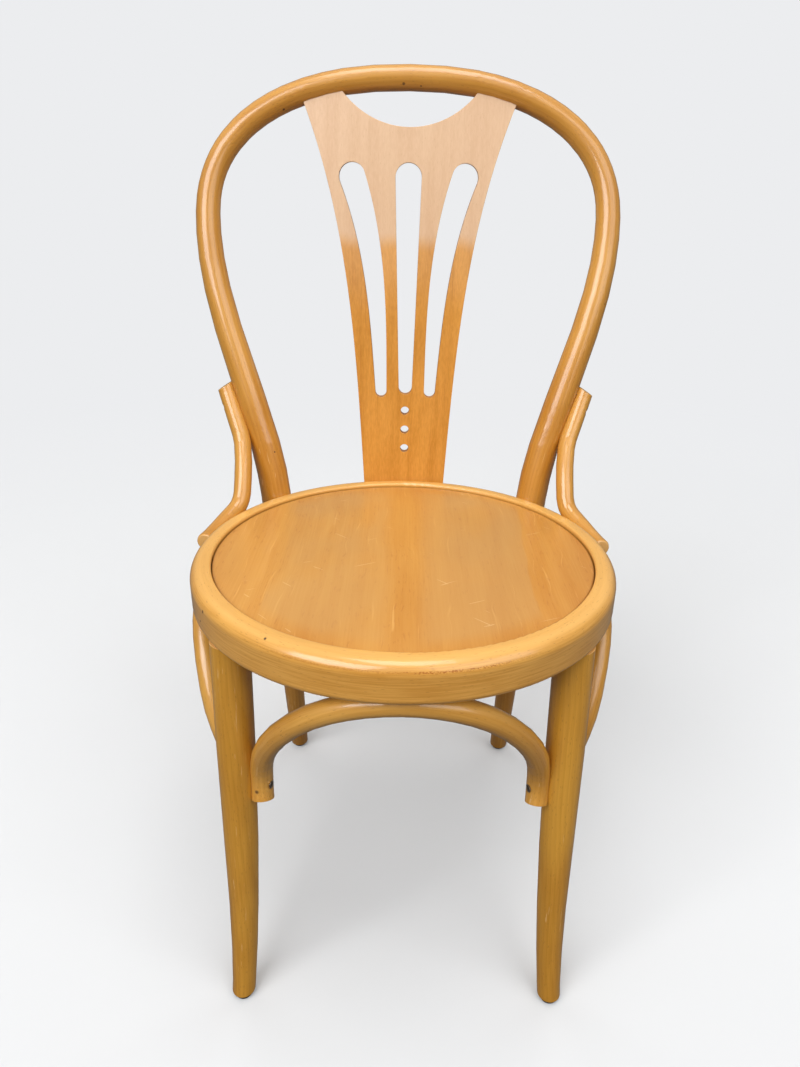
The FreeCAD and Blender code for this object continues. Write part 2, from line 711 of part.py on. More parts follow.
def hoop_bolt_parts():
    """Right-hand bolt, washer and nut, and the room they take in hoop and ring."""
    centre = hoop_stile_point(RING_MIDDLE)
    centre.z = BOLT_HEIGHT
    inward = -level(centre)
    rod_radius = hoop_diameter(BOLT_HEIGHT) / 2
    head_seat = centre - inward * (rod_radius - BOLT_SPOTFACE)
    washer_seat = -inward * (RING_BORE + WASHER_SPOTFACE) + UP * BOLT_HEIGHT
    reach = head_seat.distanceToPoint(washer_seat) + WASHER_THICKNESS + NUT_THICKNESS + BOLT_TAIL
    head_radius = BOLT_HEAD_DIAMETER / 2
    ball_radius = (head_radius ** 2 + BOLT_HEAD_HEIGHT ** 2) / 2 / BOLT_HEAD_HEIGHT
    head = Part.makeSphere(ball_radius, UP * (ball_radius - BOLT_HEAD_HEIGHT))
    head = head.common(Part.makeCylinder(ball_radius, BOLT_HEAD_HEIGHT, -UP * BOLT_HEAD_HEIGHT))
    shank = Part.makeCylinder(BOLT_DIAMETER / 2, reach)
    bolt = facing(head.fuse(shank).removeSplitter(), head_seat, inward)
    washer = Part.makeCylinder(WASHER_DIAMETER / 2, WASHER_THICKNESS)
    washer = washer.cut(Part.makeCylinder(BOLT_DIAMETER / 2, WASHER_THICKNESS))
    nut_seat = washer_seat + inward * WASHER_THICKNESS
    head_room = Part.makeCylinder(head_radius, 2 * head_radius, -UP * 2 * head_radius)
    washer_room = Part.makeCylinder(WASHER_DIAMETER / 2 + WASHER_ROOM, WASHER_DIAMETER)
    room = [bolt, facing(head_room, head_seat, inward), facing(washer_room, washer_seat, inward)]
    return bolt, facing(washer, washer_seat, inward), facing(hexagon_nut(), nut_seat, inward), room


# Assembly


def bored(wood, rooms):
    """Wood with the fasteners' room taken out, each cut kept off pieces it does not reach."""
    for room in rooms:
        if wood.BoundBox.intersect(room.BoundBox):
            wood = wood.cut(room)
    return wood


def build():
    nodes = {}
    rooms = []

    def add_pair(name, shape):
        nodes[name + "_right"] = shape
        nodes[name + "_left"] = mirrored(shape)

    ring = seat_ring()
    mortise = leg_mortise()
    ring = ring.cut(mortise).cut(mirrored(mortise))
    leg = front_leg()
    hoop = back_hoop().cut(ring)
    splat = back_splat(ring)
    hoop = hoop.cut(splat)
    brace = hip_brace().cut(hoop).cut(ring)

    front_end = right_front_end(180 + FRONT_ARCH_TURN)
    side_front_end = right_front_end(90 - SIDE_ARCH_FRONT_TURN)
    side_rear_end = right_rear_end(-90 + SIDE_ARCH_REAR_TURN)
    rear_end = right_rear_end(180 + REAR_ARCH_TURN)
    side = RING_RADIUS - SIDE_ARCH_INSET, SIDE_ARCH_SCREW_RISE
    front_radius, rear_radius = RING_RADIUS - FRONT_ARCH_INSET, RING_RADIUS - REAR_ARCH_INSET
    arches = {
        "arch_front": (left_of(front_end), front_end, front_radius, ARCH_SCREW_RISE),
        "arch_right": (side_front_end, side_rear_end, *side),
        "arch_left": (left_of(side_rear_end), left_of(side_front_end), *side),
        "arch_rear": (rear_end, left_of(rear_end), rear_radius, ARCH_SCREW_RISE),
    }
    uprights = [leg, mirrored(leg), hoop]
    arch_woods = {}
    for name, (first, second, crown_radius, screw_rise) in arches.items():
        path = arch_path(first, second, crown_radius)
        wood = rod(path, lambda height: ARCH_DIAMETER, ARCH_TURN).cut(ring)
        for upright in uprights:
            if wood.BoundBox.intersect(upright.BoundBox):
                wood = wood.cut(upright)
        arch_woods[name] = wood
        end_screws = []
        height = ARCH_END_HEIGHT + screw_rise
        for end in (first, second):
            beside = end(height)
            legs = [front_leg_point(height), hoop_leg_point(height)]
            legs += [Vec(-point.x, point.y, point.z) for point in legs]
            nearest = min(legs, key=beside.distanceToPoint)
            outward = level(beside - nearest)
            screw, room = driven(beside + outward * ARCH_RADIUS, -outward, FRAME_SCREW_LENGTH)
            end_screws.append(screw)
            rooms.append(room)
        nodes[name + "_end_screws"] = Part.makeCompound(end_screws)
        crown = path[len(path) // 2]
        under = crown - UP * ARCH_RADIUS
        screw, room = driven(under, UP, FRAME_SCREW_LENGTH)
        nodes[name + "_crown_screw"] = screw
        rooms.append(room)

    beside = brace_beside_hoop(BRACE_SCREW_HEIGHT)
    outward = level(beside - hoop_stile_point(BRACE_SCREW_HEIGHT))
    upper = driven(beside + outward * BRACE_RADIUS, -outward, FRAME_SCREW_LENGTH)
    beside = brace_beside_ring(BRACE_SCREW_SHARE)
    outward = level(beside)
    lower = driven(beside + outward * BRACE_RADIUS, -outward, FRAME_SCREW_LENGTH)
    rear_face = RING_RADIUS - SPLAT_RING_SEAT + SPLAT_THICKNESS
    foot_point = Vec(SPLAT_SCREW_HALF, rear_face, RING_MIDDLE)
    foot = driven(foot_point, Vec(0, -1, 0), SPLAT_SCREW_LENGTH)
    for name, (screw, room) in {
        "hip_screw_upper": upper,
        "hip_screw_lower": lower,
        "splat_screw": foot,
    }.items():
        add_pair(name, screw)
        rooms += [room, mirrored(room)]

    bolt, washer, nut, bolt_room = hoop_bolt_parts()
    add_pair("hoop_bolt", bolt)
    add_pair("hoop_washer", washer)
    add_pair("hoop_nut", nut)
    for room in bolt_room:
        rooms += [room, mirrored(room)]

    front_glide = glide().translated(Vec(*front_leg_point(GLIDE_HEIGHT)[:2], 0))
    rear_glide = glide().translated(Vec(*hoop_leg_point(GLIDE_HEIGHT)[:2], 0))
    add_pair("glide_front", front_glide)
    add_pair("glide_rear", rear_glide)
    for shape in (front_glide, rear_glide):
        rooms += [shape, mirrored(shape)]

    leg = bored(leg, rooms)
    brace = bored(brace, rooms)
    add_pair("front_leg", leg)
    add_pair("hip_brace", brace)
    nodes["seat_ring"] = bored(ring, rooms)
    nodes["seat_panel"] = seat_panel()
    nodes["back_hoop"] = bored(hoop, rooms)
    nodes["back_splat"] = bored(splat, rooms)
    for name, wood in arch_woods.items():
        nodes[name] = bored(wood, rooms)
    return nodes


def main():
    os.makedirs("parts", exist_ok=True)
    to_origin = Vec(0, -ORIGIN_SETBACK, 0)
    for name, shape in build().items():
        shape.translated(to_origin).exportStep(os.path.join("parts", name + ".step"))


main()
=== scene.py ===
"""Finishes, floor, light and camera for a bentwood bistro chair.

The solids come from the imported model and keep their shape. Each wooden piece is given grain that
follows the blank it was bent, turned or pressed from, and a worn clear lacquer over it.
"""

import math

import bpy
import numpy as np
from mathutils import Matrix, Vector
from mathutils.kdtree import KDTree


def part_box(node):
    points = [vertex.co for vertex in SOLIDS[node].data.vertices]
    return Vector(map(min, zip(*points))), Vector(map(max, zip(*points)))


bl_info = {
    "name": "Bentwood Bistro Chair",
    "version": (1, 0, 0),
    "blender": (4, 5, 0),
    "location": "3D View > Sidebar > Bistro Chair",
    "description": "Gives a bentwood bistro chair its beech, lacquer, metal and plastic finishes",
    "category": "Object",
}

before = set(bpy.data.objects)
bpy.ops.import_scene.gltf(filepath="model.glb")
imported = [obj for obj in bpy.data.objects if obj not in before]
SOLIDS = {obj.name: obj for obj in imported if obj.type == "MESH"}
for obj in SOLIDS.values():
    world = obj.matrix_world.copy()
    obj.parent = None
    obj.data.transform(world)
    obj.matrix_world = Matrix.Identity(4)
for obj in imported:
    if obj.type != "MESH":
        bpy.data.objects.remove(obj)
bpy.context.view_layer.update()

# Directions on the chair, as the camera in front of it sees them: sideways is to the right.
SIDEWAYS = (1.0, 0.0, 0.0)
REARWARDS = (0.0, 1.0, 0.0)
UPWARDS = (0.0, 0.0, 1.0)
DOWNWARDS = (0.0, 0.0, -1.0)
LOW_SIDE = (0.5, 0.0, -1.0)
LOW_FRONT = (0.0, -0.5, -1.0)

# Cuts across a rod, which find its middle line, in metres.
FIRST_CUT = 0.002
CUT_GAP = 0.010
CUT_REACH = 0.042
FEWEST_IN_CUT = 8
STEPS_BETWEEN_CUTS = 5

# A cut's radius is the distance from its middle that this share of its spots keeps within. A spot
# nearer than the second share of that radius lies in a notch and is left out.
RADIUS_SHARE = 0.8
NOTCH_SHARE = 0.93

# A face of a rod that looks along it by more than the first value is a sawn end. A face of the
# splat that looks forwards or rearwards by more than the second is veneer.
SAWN_FACING = 0.6
VENEER_FACING = 0.75

# The number of places that are compared with a middle line at once.
PLACES_AT_ONCE = 4000

# Where each rod's blank starts along an endless plank, so that no two rods show the same grain.
BLANK_STARTS = {
    "back_hoop": 0.0,
    "hip_brace_right": 3.1,
    "hip_brace_left": 4.7,
    "arch_front": 6.0,
    "arch_rear": 7.3,
    "arch_right": 8.9,
    "arch_left": 10.2,
    "front_leg_right": 12.4,
    "front_leg_left": 14.1,
}

# Knocks and specks that this chair has picked up: place and radius, in metres.
HOOP_SPECKS = [
    ((-0.1366, 0.2151, 0.8540), 0.0018),
    ((-0.0070, 0.2208, 0.8805), 0.0021),
    ((0.0117, 0.2220, 0.8788), 0.0012),
    ((-0.1909, 0.2055, 0.8087), 0.0012),
    ((-0.1496, 0.1148, 0.4984), 0.0013),
    ((0.2203, 0.1550, 0.6635), 0.0010),
]
RING_SPECKS = [
    ((-0.1082, -0.2067, 0.4482), 0.0016),
    ((-0.1718, -0.1515, 0.4395), 0.0020),
    ((-0.1770, -0.1436, 0.4256), 0.0015),
]
ARCH_SPECKS = [
    ((0.1705, -0.1416, 0.3600), 0.0018),
    ((-0.1320, -0.1740, 0.2620), 0.0030),
]

# This share of a knock's radius is fully dark.
KNOCK_CORE = 0.45

# Where the tree's pith lay beside the blank, in metres across it, and how far growth rings sway.
ROD_PITH = (0.011, 0.046)
RING_PITH = (0.034, 0.060)
GROWTH_SWAY = 0.016

# How far the growth rings run off the length of each kind of blank, in metres to a metre.
HOOP_LEAN = 0.006
BRACE_LEAN = 0.012
ARCH_LEAN = 0.009
LEG_LEAN = 0.030
RING_LEAN = 0.004

# A ray fleck is this many times as long as wide, and this share of its cell is the fleck.
FLECK_STRETCH = 6.0
FLECK_FILL = 0.42

# Below this height the hoop is deeper in colour, fully so once it is lower by the second value.
HOOP_DEEPENS = 0.64
DEEPENING = 0.14

# Each pair from here to GLIDE_RUB says where a mark starts and where it is full, in metres.
# Rods, by height above the floor.
RUBBED_HEIGHT = (0.74, 0.62)

# Seat ring, outwards from its rim and upwards from its top.
RING_SIDE = (-0.004, -0.0015)
# Painted light on the ring's top face.
LIT_RING_TOP = (-0.004, -0.001)
# Painted shade in the gap between ring and panel, inside the rim and below the top.
RING_GAP_SHADE_INSIDE = (-0.0185, -0.0199)
RING_GAP_SHADE_BELOW = (-0.0026, -0.0040)

# Bruise on the seat ring, up or down from its band, and sideways from its middle.
BRUISE_BAND = (0.0014, 0.0004)
BRUISE_SPREAD = (0.050, 0.020)

# Painted wall reflection on the seat panel, by distance from the line through its middle.
WALL_REFLECTION_FROM = (0.006, 0.030)
WALL_REFLECTION_TO = (0.124, 0.121)

# Foot glides, by height above the floor.
GLIDE_RUB = (0.0016, 0.0002)

# The bruise lies this far below the ring's top and to the right, and its band wanders this much.
BRUISE_BELOW_TOP = 0.0064
BRUISE_MIDDLE = 0.040
BRUISE_WANDER = 0.0016

# How far the figure of the seat panel drifts sideways.
FIGURE_DRIFT = 0.050

# The splat's painted sky reflection has an edge this ragged, and starts gently this far below it.
REFLECTION_RAGGED = 0.010
REFLECTION_GENTLE = 0.07

# Lacquer: the share of it that is left, and how hazy its reflections are.
BENT_LACQUER = (1.0, 0.15)
TURNED_LACQUER = (0.8, 0.15)
RING_LACQUER = (0.85, 0.12)
PANEL_LACQUER = (0.4, 0.22)
SPLAT_LACQUER = (0.4, 0.25)

# Radius of the edges that the light shows as softly rounded, in metres.
WOOD_EDGE = 0.0008
PLASTIC_EDGE = 0.0005
METAL_EDGE = 0.0003

# Height of the finest relief, in metres.
WOOD_RELIEF = 0.00007
PLASTIC_RELIEF = 0.00006
METAL_RELIEF = 0.00003

# Fine scratches on the seat: the angle and length of each kind, and the width of all.
SCRATCHES = ((0.45, 0.032), (-0.75, 0.024))
SCRATCH_WIDTH = 0.0022

# The splat's veneers: width of a fleck in metres, and pairs of plies between front and back.
VENEER_FLECK = 0.0006
PLY_PAIRS = 3.5

# Corners this close are one, and edges sharper than this angle stay sharp.
WELD_GAP = 0.00001
SHARP_ANGLE = math.radians(32.0)

# The floor lies this far under the glides, in metres.
FLOOR_DROP = 0.0003

# Soft lamps: name, place, width and height, the spot it points at, and its power's setting.
LAMPS = (
    ("Left softbox", (-1.7, -2.3, 2.6), (2.4, 2.0), (0.0, 0.0, 0.45), "left_power"),
    ("Right softbox", (2.0, -2.2, 2.5), (3.0, 2.6), (0.0, 0.0, 0.45), "right_power"),
    ("Top softbox", (0.1, -0.5, 3.1), (1.3, 1.6), (0.0, -0.1, 0.5), "top_power"),
    ("Rear left softbox", (-2.2, 2.7, 1.2), (3.0, 2.2), (0.0, 0.0, 0.5), "rear_power"),
    ("Rear right softbox", (2.2, 2.7, 1.2), (3.0, 2.2), (0.0, 0.0, 0.5), "rear_power"),
)

# The camera's sensor in millimetres, and the nearest and furthest that it sees in metres.
SENSOR_WIDTH = 36.0
NEAREST_SEEN = 0.02
FURTHEST_SEEN = 60.0


def linear(red, green, blue):
    """Scene values of a colour as a paint chart gives it, 0 to 255."""
    parts = (value / 255.0 for value in (red, green, blue))
    return tuple(p / 12.92 if p <= 0.04045 else ((p + 0.055) / 1.055) ** 2.4 for p in parts)


# Small marks on wood and metal
RUBBED_EDGE = linear(236, 190, 128)
RUBBED_SPOT = linear(240, 200, 142)
SCRATCH = linear(242, 208, 156)
ROD_FLECK = linear(132, 80, 30)
ROD_KNOCK = linear(66, 38, 20)
SAWN_PORE = linear(196, 140, 74)
RING_FLECK = linear(132, 80, 32)
RING_KNOCK = linear(58, 32, 16)
# Painted light on the seat ring's top face.
PAINTED_TOP_LIGHT = linear(238, 188, 108)
PANEL_LINE = linear(238, 188, 112)
PANEL_DASH = linear(166, 94, 38)
SPLAT_VEIN = linear(164, 94, 30)
SPLAT_FLECK = linear(150, 92, 42)
BRIGHT_STEEL = linear(226, 224, 218)

# The floor's grain, and the floor as the chair sees it
FLOOR_GRAIN = linear(214, 214, 214)
FLOOR_SEEN_FROM_CHAIR = linear(96, 96, 96)


def colour(name, description, red, green, blue):
    """A colour that a user can change."""
    return bpy.props.FloatVectorProperty(
        name=name, description=description, subtype="COLOR", size=3,
        min=0.0, max=1.0, default=linear(red, green, blue),
    )


def length(name, description, metres):
    """A length that a user can change."""
    return bpy.props.FloatProperty(
        name=name, description=description, unit="LENGTH", subtype="DISTANCE",
        min=0.0, precision=4, default=metres,
    )


def share(name, description, value):
    """A share from 0 to 1 that a user can change."""
    return bpy.props.FloatProperty(
        name=name, description=description, subtype="FACTOR", min=0.0, max=1.0, default=value,
    )


def power(name, description, watts):
    """A lamp's power that a user can change."""
    return bpy.props.FloatProperty(
        name=name, description=description, unit="POWER", min=0.0, default=watts,
    )


def group(kind, name, description):
    """One group of settings within the chair's."""
    return bpy.props.PointerProperty(type=kind, name=name, description=description)


class RodFinish(bpy.types.PropertyGroup):
    """Beech of the bent and turned rods."""

    bent_pale: colour("Bent rods, pale wood", "Spring wood of hoop and braces", 216, 158, 70)
    bent_deep: colour("Bent rods, deep wood", "Summer wood of hoop and braces", 184, 122, 36)
    arch_pale: colour("Arches, pale wood", "Spring wood of the arches", 228, 172, 84)
    arch_deep: colour("Arches, deep wood", "Summer wood of the arches", 196, 134, 44)
    turned_pale: colour("Front legs, pale wood", "Spring wood of the turned legs", 215, 157, 57)
    turned_deep: colour("Front legs, deep wood", "Summer wood of the turned legs", 181, 122, 31)
    end_grain: colour("End grain", "Sawn ends of the rods", 228, 178, 106)
    ring_gap: length("Growth ring gap", "Distance between growth rings in the rods", 0.0046)
    fleck_width: length("Fleck width", "Width of the short dark ray flecks", 0.00055)


class SeatFinish(bpy.types.PropertyGroup):
    """Beech of the seat ring and of the veneered panel and splat."""

    ring_pale: colour("Seat ring, pale wood", "Spring wood of the bent ring", 228, 170, 84)
    ring_deep: colour("Seat ring, deep wood", "Summer wood of the bent ring", 194, 132, 46)
    ring_worn: colour("Seat ring, worn edge", "Bruised wood along the front edge", 170, 98, 26)
    panel_pale: colour("Seat panel, pale veneer", "Pale figure of the seat veneer", 207, 151, 74)
    panel_deep: colour("Seat panel, deep veneer", "Deep figure of the seat veneer", 188, 124, 48)
    # Colour of the wall's reflection, painted in greyish patches on the seat.
    panel_reflection: colour("Seat panel, painted wall reflection", "Greyish patches of painted wall reflection, where the lacquer is also duller", 194, 147, 86)
    splat_pale: colour("Splat, pale veneer", "Pale figure of the lower splat", 220, 155, 68)
    splat_deep: colour("Splat, deep veneer", "Deep figure of the lower splat", 190, 126, 42)
    # The upper splat is paler where a reflection of the sky is painted into its veneer.
    reflection_pale: colour("Splat, pale under painted sky reflection", "Pale figure with the sky's reflection painted on", 220, 184, 147)
    reflection_deep: colour("Splat, deep under painted sky reflection", "Deep figure with the sky's reflection painted on", 208, 168, 131)
    reflection_rise: length("Painted reflection rise", "Height above the splat's foot where it starts to pale", 0.302)
    reflection_length: length("Painted reflection length", "Length over which the painted sky reflection comes in", 0.022)
    ply_dark: colour("Ply edges", "Cross plies seen in the slots and holes", 158, 102, 52)
    # Colour of the painted shade in the gap between ring and panel.
    shadow_gap: colour("Shadow gap", "Painted shade in the gap between ring and panel", 112, 66, 28)


class TrimFinish(bpy.types.PropertyGroup):
    """Metal fasteners and plastic glides."""

    steel: colour("Steel", "Plated steel of screws, bolts, washers and nuts", 176, 164, 146)
    tarnish: colour("Tarnish", "Dulled plating in the hollows", 96, 72, 52)
    glide: colour("Glide", "Black plastic of the foot glides", 34, 33, 32)
    glide_scuff: colour("Glide scuff", "Greyed plastic where the glide meets the floor", 92, 90, 86)


class StageSettings(bpy.types.PropertyGroup):
    """Floor, lamps and camera."""

    floor: colour("Floor", "Plain pale floor", 216, 217, 218)
    backdrop: colour("Backdrop", "Plain pale backdrop", 236, 237, 239)
    floor_radius: length("Floor radius", "Radius of the floor disc", 9.0)
    fade_start: length("Fade start", "Distance at which the floor starts to fade", 0.9)
    fade_end: length("Fade end", "Distance at which the floor has faded into the backdrop", 2.6)
    left_power: power("Left softbox power", "Power of the soft lamp in front on the left", 84.0)
    right_power: power("Right softbox power", "Power of the soft lamp in front on the right", 46.0)
    top_power: power("Top softbox power", "Power of the soft lamp overhead", 28.0)
    rear_power: power("Rear softbox power", "Power of each soft lamp behind the chair", 52.0)
    sky_low: share("Sky at eye level", "Brightness of the surrounding light at eye level", 0.17)
    sky_high: share("Sky overhead", "Brightness of the surrounding light overhead", 0.50)
    lens: bpy.props.FloatProperty(
        name="Lens", description="Focal length of the camera", subtype="DISTANCE_CAMERA",
        min=1.0, default=25.014,
    )
    camera_place: bpy.props.FloatVectorProperty(
        name="Camera place", description="Where the camera stands", unit="LENGTH",
        subtype="TRANSLATION", size=3, default=(-0.0035, -0.7050, 0.7611),
    )
    camera_tilt: bpy.props.FloatProperty(
        name="Camera tilt", description="How far the camera looks down", unit="ROTATION",
        subtype="ANGLE", default=math.radians(23.894),
    )
    camera_roll: bpy.props.FloatProperty(
        name="Camera roll", description="How far the camera leans to one side", unit="ROTATION",
        subtype="ANGLE", default=math.radians(0.889),
    )


class ChairSettings(bpy.types.PropertyGroup):
    """All that a user can change on the chair."""

    rods: group(RodFinish, "Rods", "Bent and turned beech")
    seat: group(SeatFinish, "Seat and splat", "Ring and veneers")
    trim: group(TrimFinish, "Trim", "Metal and plastic")
    stage: group(StageSettings, "Stage", "Floor, lamps and camera")


# Shader maths


def open_socket(sockets, key):
    """The socket in use that has this name, or this number among those in use."""
    used = [s for s in sockets if s.enabled]
    return used[key] if isinstance(key, int) else next(s for s in used if s.name == key)


class Signal:
    """A socket that is worked with as a number; every operator adds its Math node."""

    def __init__(self, finish, socket):
        self.finish, self.socket = finish, socket

    def __add__(self, other):
        return self.finish.math("ADD", self, other)

    def __sub__(self, other):
        return self.finish.math("SUBTRACT", self, other)

    def __rsub__(self, other):
        return self.finish.math("SUBTRACT", other, self)

    def __mul__(self, other):
        return self.finish.math("MULTIPLY", self, other)

    def __truediv__(self, other):
        return self.finish.math("DIVIDE", self, other)

    __radd__ = __add__
    __rmul__ = __mul__

    def output(self, name):
        """Another output of the same node."""
        return Signal(self.finish, open_socket(self.socket.node.outputs, name))


def opaque(paint):
    """A colour as a socket takes it, with full opacity; a Signal stays as it is."""
    return paint if isinstance(paint, Signal) else (*paint, 1.0)


class Finish:
    """The nodes of one material or of the world, added by what they do to a finish."""

    def __init__(self, owner):
        owner.use_nodes = True
        self.owner, self.tree = owner, owner.node_tree
        self.tree.nodes.clear()

    def node(self, kind, settings=None, sockets=None, out=0):
        """Adds any node: first its settings, then the values or links of its sockets."""
        node = self.tree.nodes.new(kind)
        for name, value in (settings or {}).items():
            setattr(node, name, value)
        for name, value in (sockets or {}).items():
            socket = open_socket(node.inputs, name)
            if isinstance(value, Signal):
                self.tree.links.new(value.socket, socket)
            else:
                socket.default_value = value
        return Signal(self, open_socket(node.outputs, out)) if node.outputs else node

    def math(self, operation, *values):
        """One Math node."""
        return self.node("ShaderNodeMath", {"operation": operation}, dict(enumerate(values)))

    def vector(self, operation, *values, out=0):
        """One Vector Math node."""
        settings = {"operation": operation}
        return self.node("ShaderNodeVectorMath", settings, dict(enumerate(values)), out)

    def mix(self, amount, first, second):
        """The second colour laid over the first."""
        return self.node(
            "ShaderNodeMix", {"data_type": "RGBA"},
            {"Factor": amount, "A": opaque(first), "B": opaque(second)},
        )

    def ramp(self, value, low, high, to_low=0.0, to_high=1.0):
        """A soft step from to_low below low to to_high above high."""
        return self.node(
            "ShaderNodeMapRange", {"interpolation_type": "SMOOTHSTEP"},
            {"Value": value, "From Min": low, "From Max": high, "To Min": to_low, "To Max": to_high},
        )

    def stretch(self, place, counts):
        """Place with its three parts multiplied by the three counts."""
        return self.vector("MULTIPLY", place, counts)

    def noise(self, place, counts, detail=2.0, distortion=0.0):
        """Cloudy noise from 0 to 1. Counts are its clouds to a metre along x, y and z."""
        sockets = {"Vector": self.stretch(place, counts), "Scale": 1.0}
        sockets |= {"Detail": detail, "Distortion": distortion}
        return self.node("ShaderNodeTexNoise", None, sockets, "Fac")

    def patches(self, place, counts, detail, low, high):
        """Soft patches: noise that is 0 up to low and 1 from high on."""
        return self.ramp(self.noise(place, counts, detail), low, high)

    def parts(self, place):
        """The three parts of a vector."""
        x = self.node("ShaderNodeSeparateXYZ", None, {"Vector": place}, "X")
        return x, x.output("Y"), x.output("Z")

    def joined(self, x, y, z):
        """A vector from three parts."""
        return self.node("ShaderNodeCombineXYZ", None, {"X": x, "Y": y, "Z": z})

    def here(self):
        """Place on the chair, in metres."""
        return self.node("ShaderNodeTexCoord", None, None, "Object")

    def stored(self, name, out):
        """A value that was worked out for the piece's own mesh."""
        return self.node("ShaderNodeAttribute", {"attribute_name": name}, None, out)

    def knocks(self, place, specks):
        """1 in a knock and 0 elsewhere."""
        total = 0.0
        for centre, radius in specks:
            distance = self.vector("DISTANCE", place, centre, out="Value")
            knock = self.ramp(distance, radius, radius * KNOCK_CORE)
            total = self.math("MAXIMUM", knock, total)
        return total

    def edge(self, radius):
        """Normal rounded over the edges, and how much each spot lies on an edge."""
        rounded = self.node("ShaderNodeBevel", {"samples": 8}, {"Radius": radius})
        plain = self.node("ShaderNodeNewGeometry", None, None, "Normal")
        turned = 1 - self.vector("DOT_PRODUCT", rounded, plain, out="Value")
        return rounded, self.ramp(turned, 0.01, 0.16)

    def surface(self, base, roughness, height, normal, relief, extra):
        """The shader and the output. Extra holds what is the same all over, and Coat Weight."""
        bump = self.node(
            "ShaderNodeBump", None,
            {"Strength": 1.0, "Distance": relief, "Height": height, "Normal": normal},
        )
        shader = self.node(
            "ShaderNodeBsdfPrincipled", None,
            {"Base Color": base, "Roughness": roughness, "Normal": bump, **extra},
        )
        self.node("ShaderNodeOutputMaterial", None, {"Surface": shader})
        return self.owner


def new_finish(name):
    """An empty finish under this name."""
    return Finish(bpy.data.materials.new(name))


# Grain of beech. Blank coordinates: x and y across the blank, z along it, in metres.


def growth_rings(finish, blank, gap, pith, lean):
    """Growth rings of a board whose pith lies off the blank: 0 in spring wood, 1 in summer wood."""
    x, y, z = finish.parts(blank)
    sway = finish.noise(blank, (22.0, 22.0, 5.0)) - 0.5
    away_x, away_y = x - pith[0], y - pith[1]
    radius = finish.math("SQRT", away_x * away_x + away_y * away_y)
    turn = (radius + z * lean + sway * GROWTH_SWAY) / gap
    rise = finish.math("FRACT", turn)
    return finish.ramp(rise, 0.15, 0.92) * finish.ramp(rise, 1.0, 0.93)


def fibres(finish, blank):
    """Fine streaks along the grain, from 0 to 1."""
    return finish.patches(blank, (900.0, 900.0, 16.0), 3.0, 0.28, 0.72)


def ray_flecks(finish, blank, width, share_kept):
    """Short dark dashes along the grain: 1 in a dash."""
    across, along = FLECK_FILL / width, FLECK_FILL / (width * FLECK_STRETCH)
    cell = finish.node(
        "ShaderNodeTexVoronoi", {"feature": "F1"},
        {"Vector": finish.stretch(blank, (across, across, along)), "Scale": 1.0}, "Distance",
    )
    chance = finish.parts(cell.output("Color"))[0]
    return finish.ramp(cell, 0.26, 0.12) * finish.ramp(chance, share_kept, share_kept - 0.12)


def scratches(finish, place):
    """A few fine short scratches in the lacquer: 1 in a scratch."""
    total = 0.0
    for angle, reach in SCRATCHES:
        turned = finish.node(
            "ShaderNodeMapping", {"vector_type": "TEXTURE"},
            {"Vector": place, "Rotation": (0.0, 0.0, angle), "Scale": (reach, SCRATCH_WIDTH, 1.0)},
        )
        line = finish.patches(turned, (1.0, 1.0, 1.0), 0.0, 0.855, 0.885)
        total = finish.math("MAXIMUM", line, total)
    return total


def lacquered(finish, wood, blank, worn, lacquer, edge_tone=0.25, scratched=False):
    """Wood under a worn clear lacquer with soft edges, fine orange peel and perhaps scratches."""
    share_left, haze = lacquer
    here = finish.here()
    rounded, edge = finish.edge(WOOD_EDGE)
    hands = finish.patches(here, (16.0, 16.0, 16.0), 3.0, 0.35, 0.7)
    peel = finish.noise(here, (150.0, 150.0, 150.0), 0.0)
    base = finish.mix(edge * edge_tone, wood, RUBBED_EDGE)
    roughness = 0.28 + hands * 0.12 + fibres(finish, blank) * 0.05 + worn * 0.2
    height = peel * 0.30 - worn * 0.4
    if scratched:
        line = scratches(finish, here)
        base = finish.mix(line * 0.3, base, SCRATCH)
        height = height - line * 0.3
    coat = share_left - worn * 0.35 - hands * 0.12
    return finish.surface(
        base, roughness, height, rounded, WOOD_RELIEF,
        {"Coat Weight": coat, "Coat Roughness": haze, "Coat IOR": 1.5, "IOR": 1.45},
    )


def rod_grain(finish, blank, pale, deep, look, lean, deepened):
    """Rings, clouds, fibres and flecks of a rod, deeper in colour where deepened is 1."""
    rings = growth_rings(finish, blank, look.ring_gap, ROD_PITH, lean)
    clouds = finish.patches(blank, (30.0, 30.0, 6.0), 3.0, 0.3, 0.7)
    tone = rings * 0.18 + clouds * 0.58 + fibres(finish, blank) * 0.24 + deepened * 0.42
    flecks = ray_flecks(finish, blank, look.fleck_width, 0.62)
    return finish.mix(flecks * 0.42, finish.mix(tone, pale, deep), ROD_FLECK)


def rubbed_spots(finish, blank, height):
    """Small pale spots worn into a rod, none of them high on the hoop: 1 in a spot."""
    spots = finish.patches(blank, (620.0, 620.0, 34.0), 2.0, 0.66, 0.72)
    spots = spots * finish.patches(blank, (20.0, 20.0, 11.0), 1.0, 0.50, 0.62)
    return spots * finish.ramp(height, *RUBBED_HEIGHT)


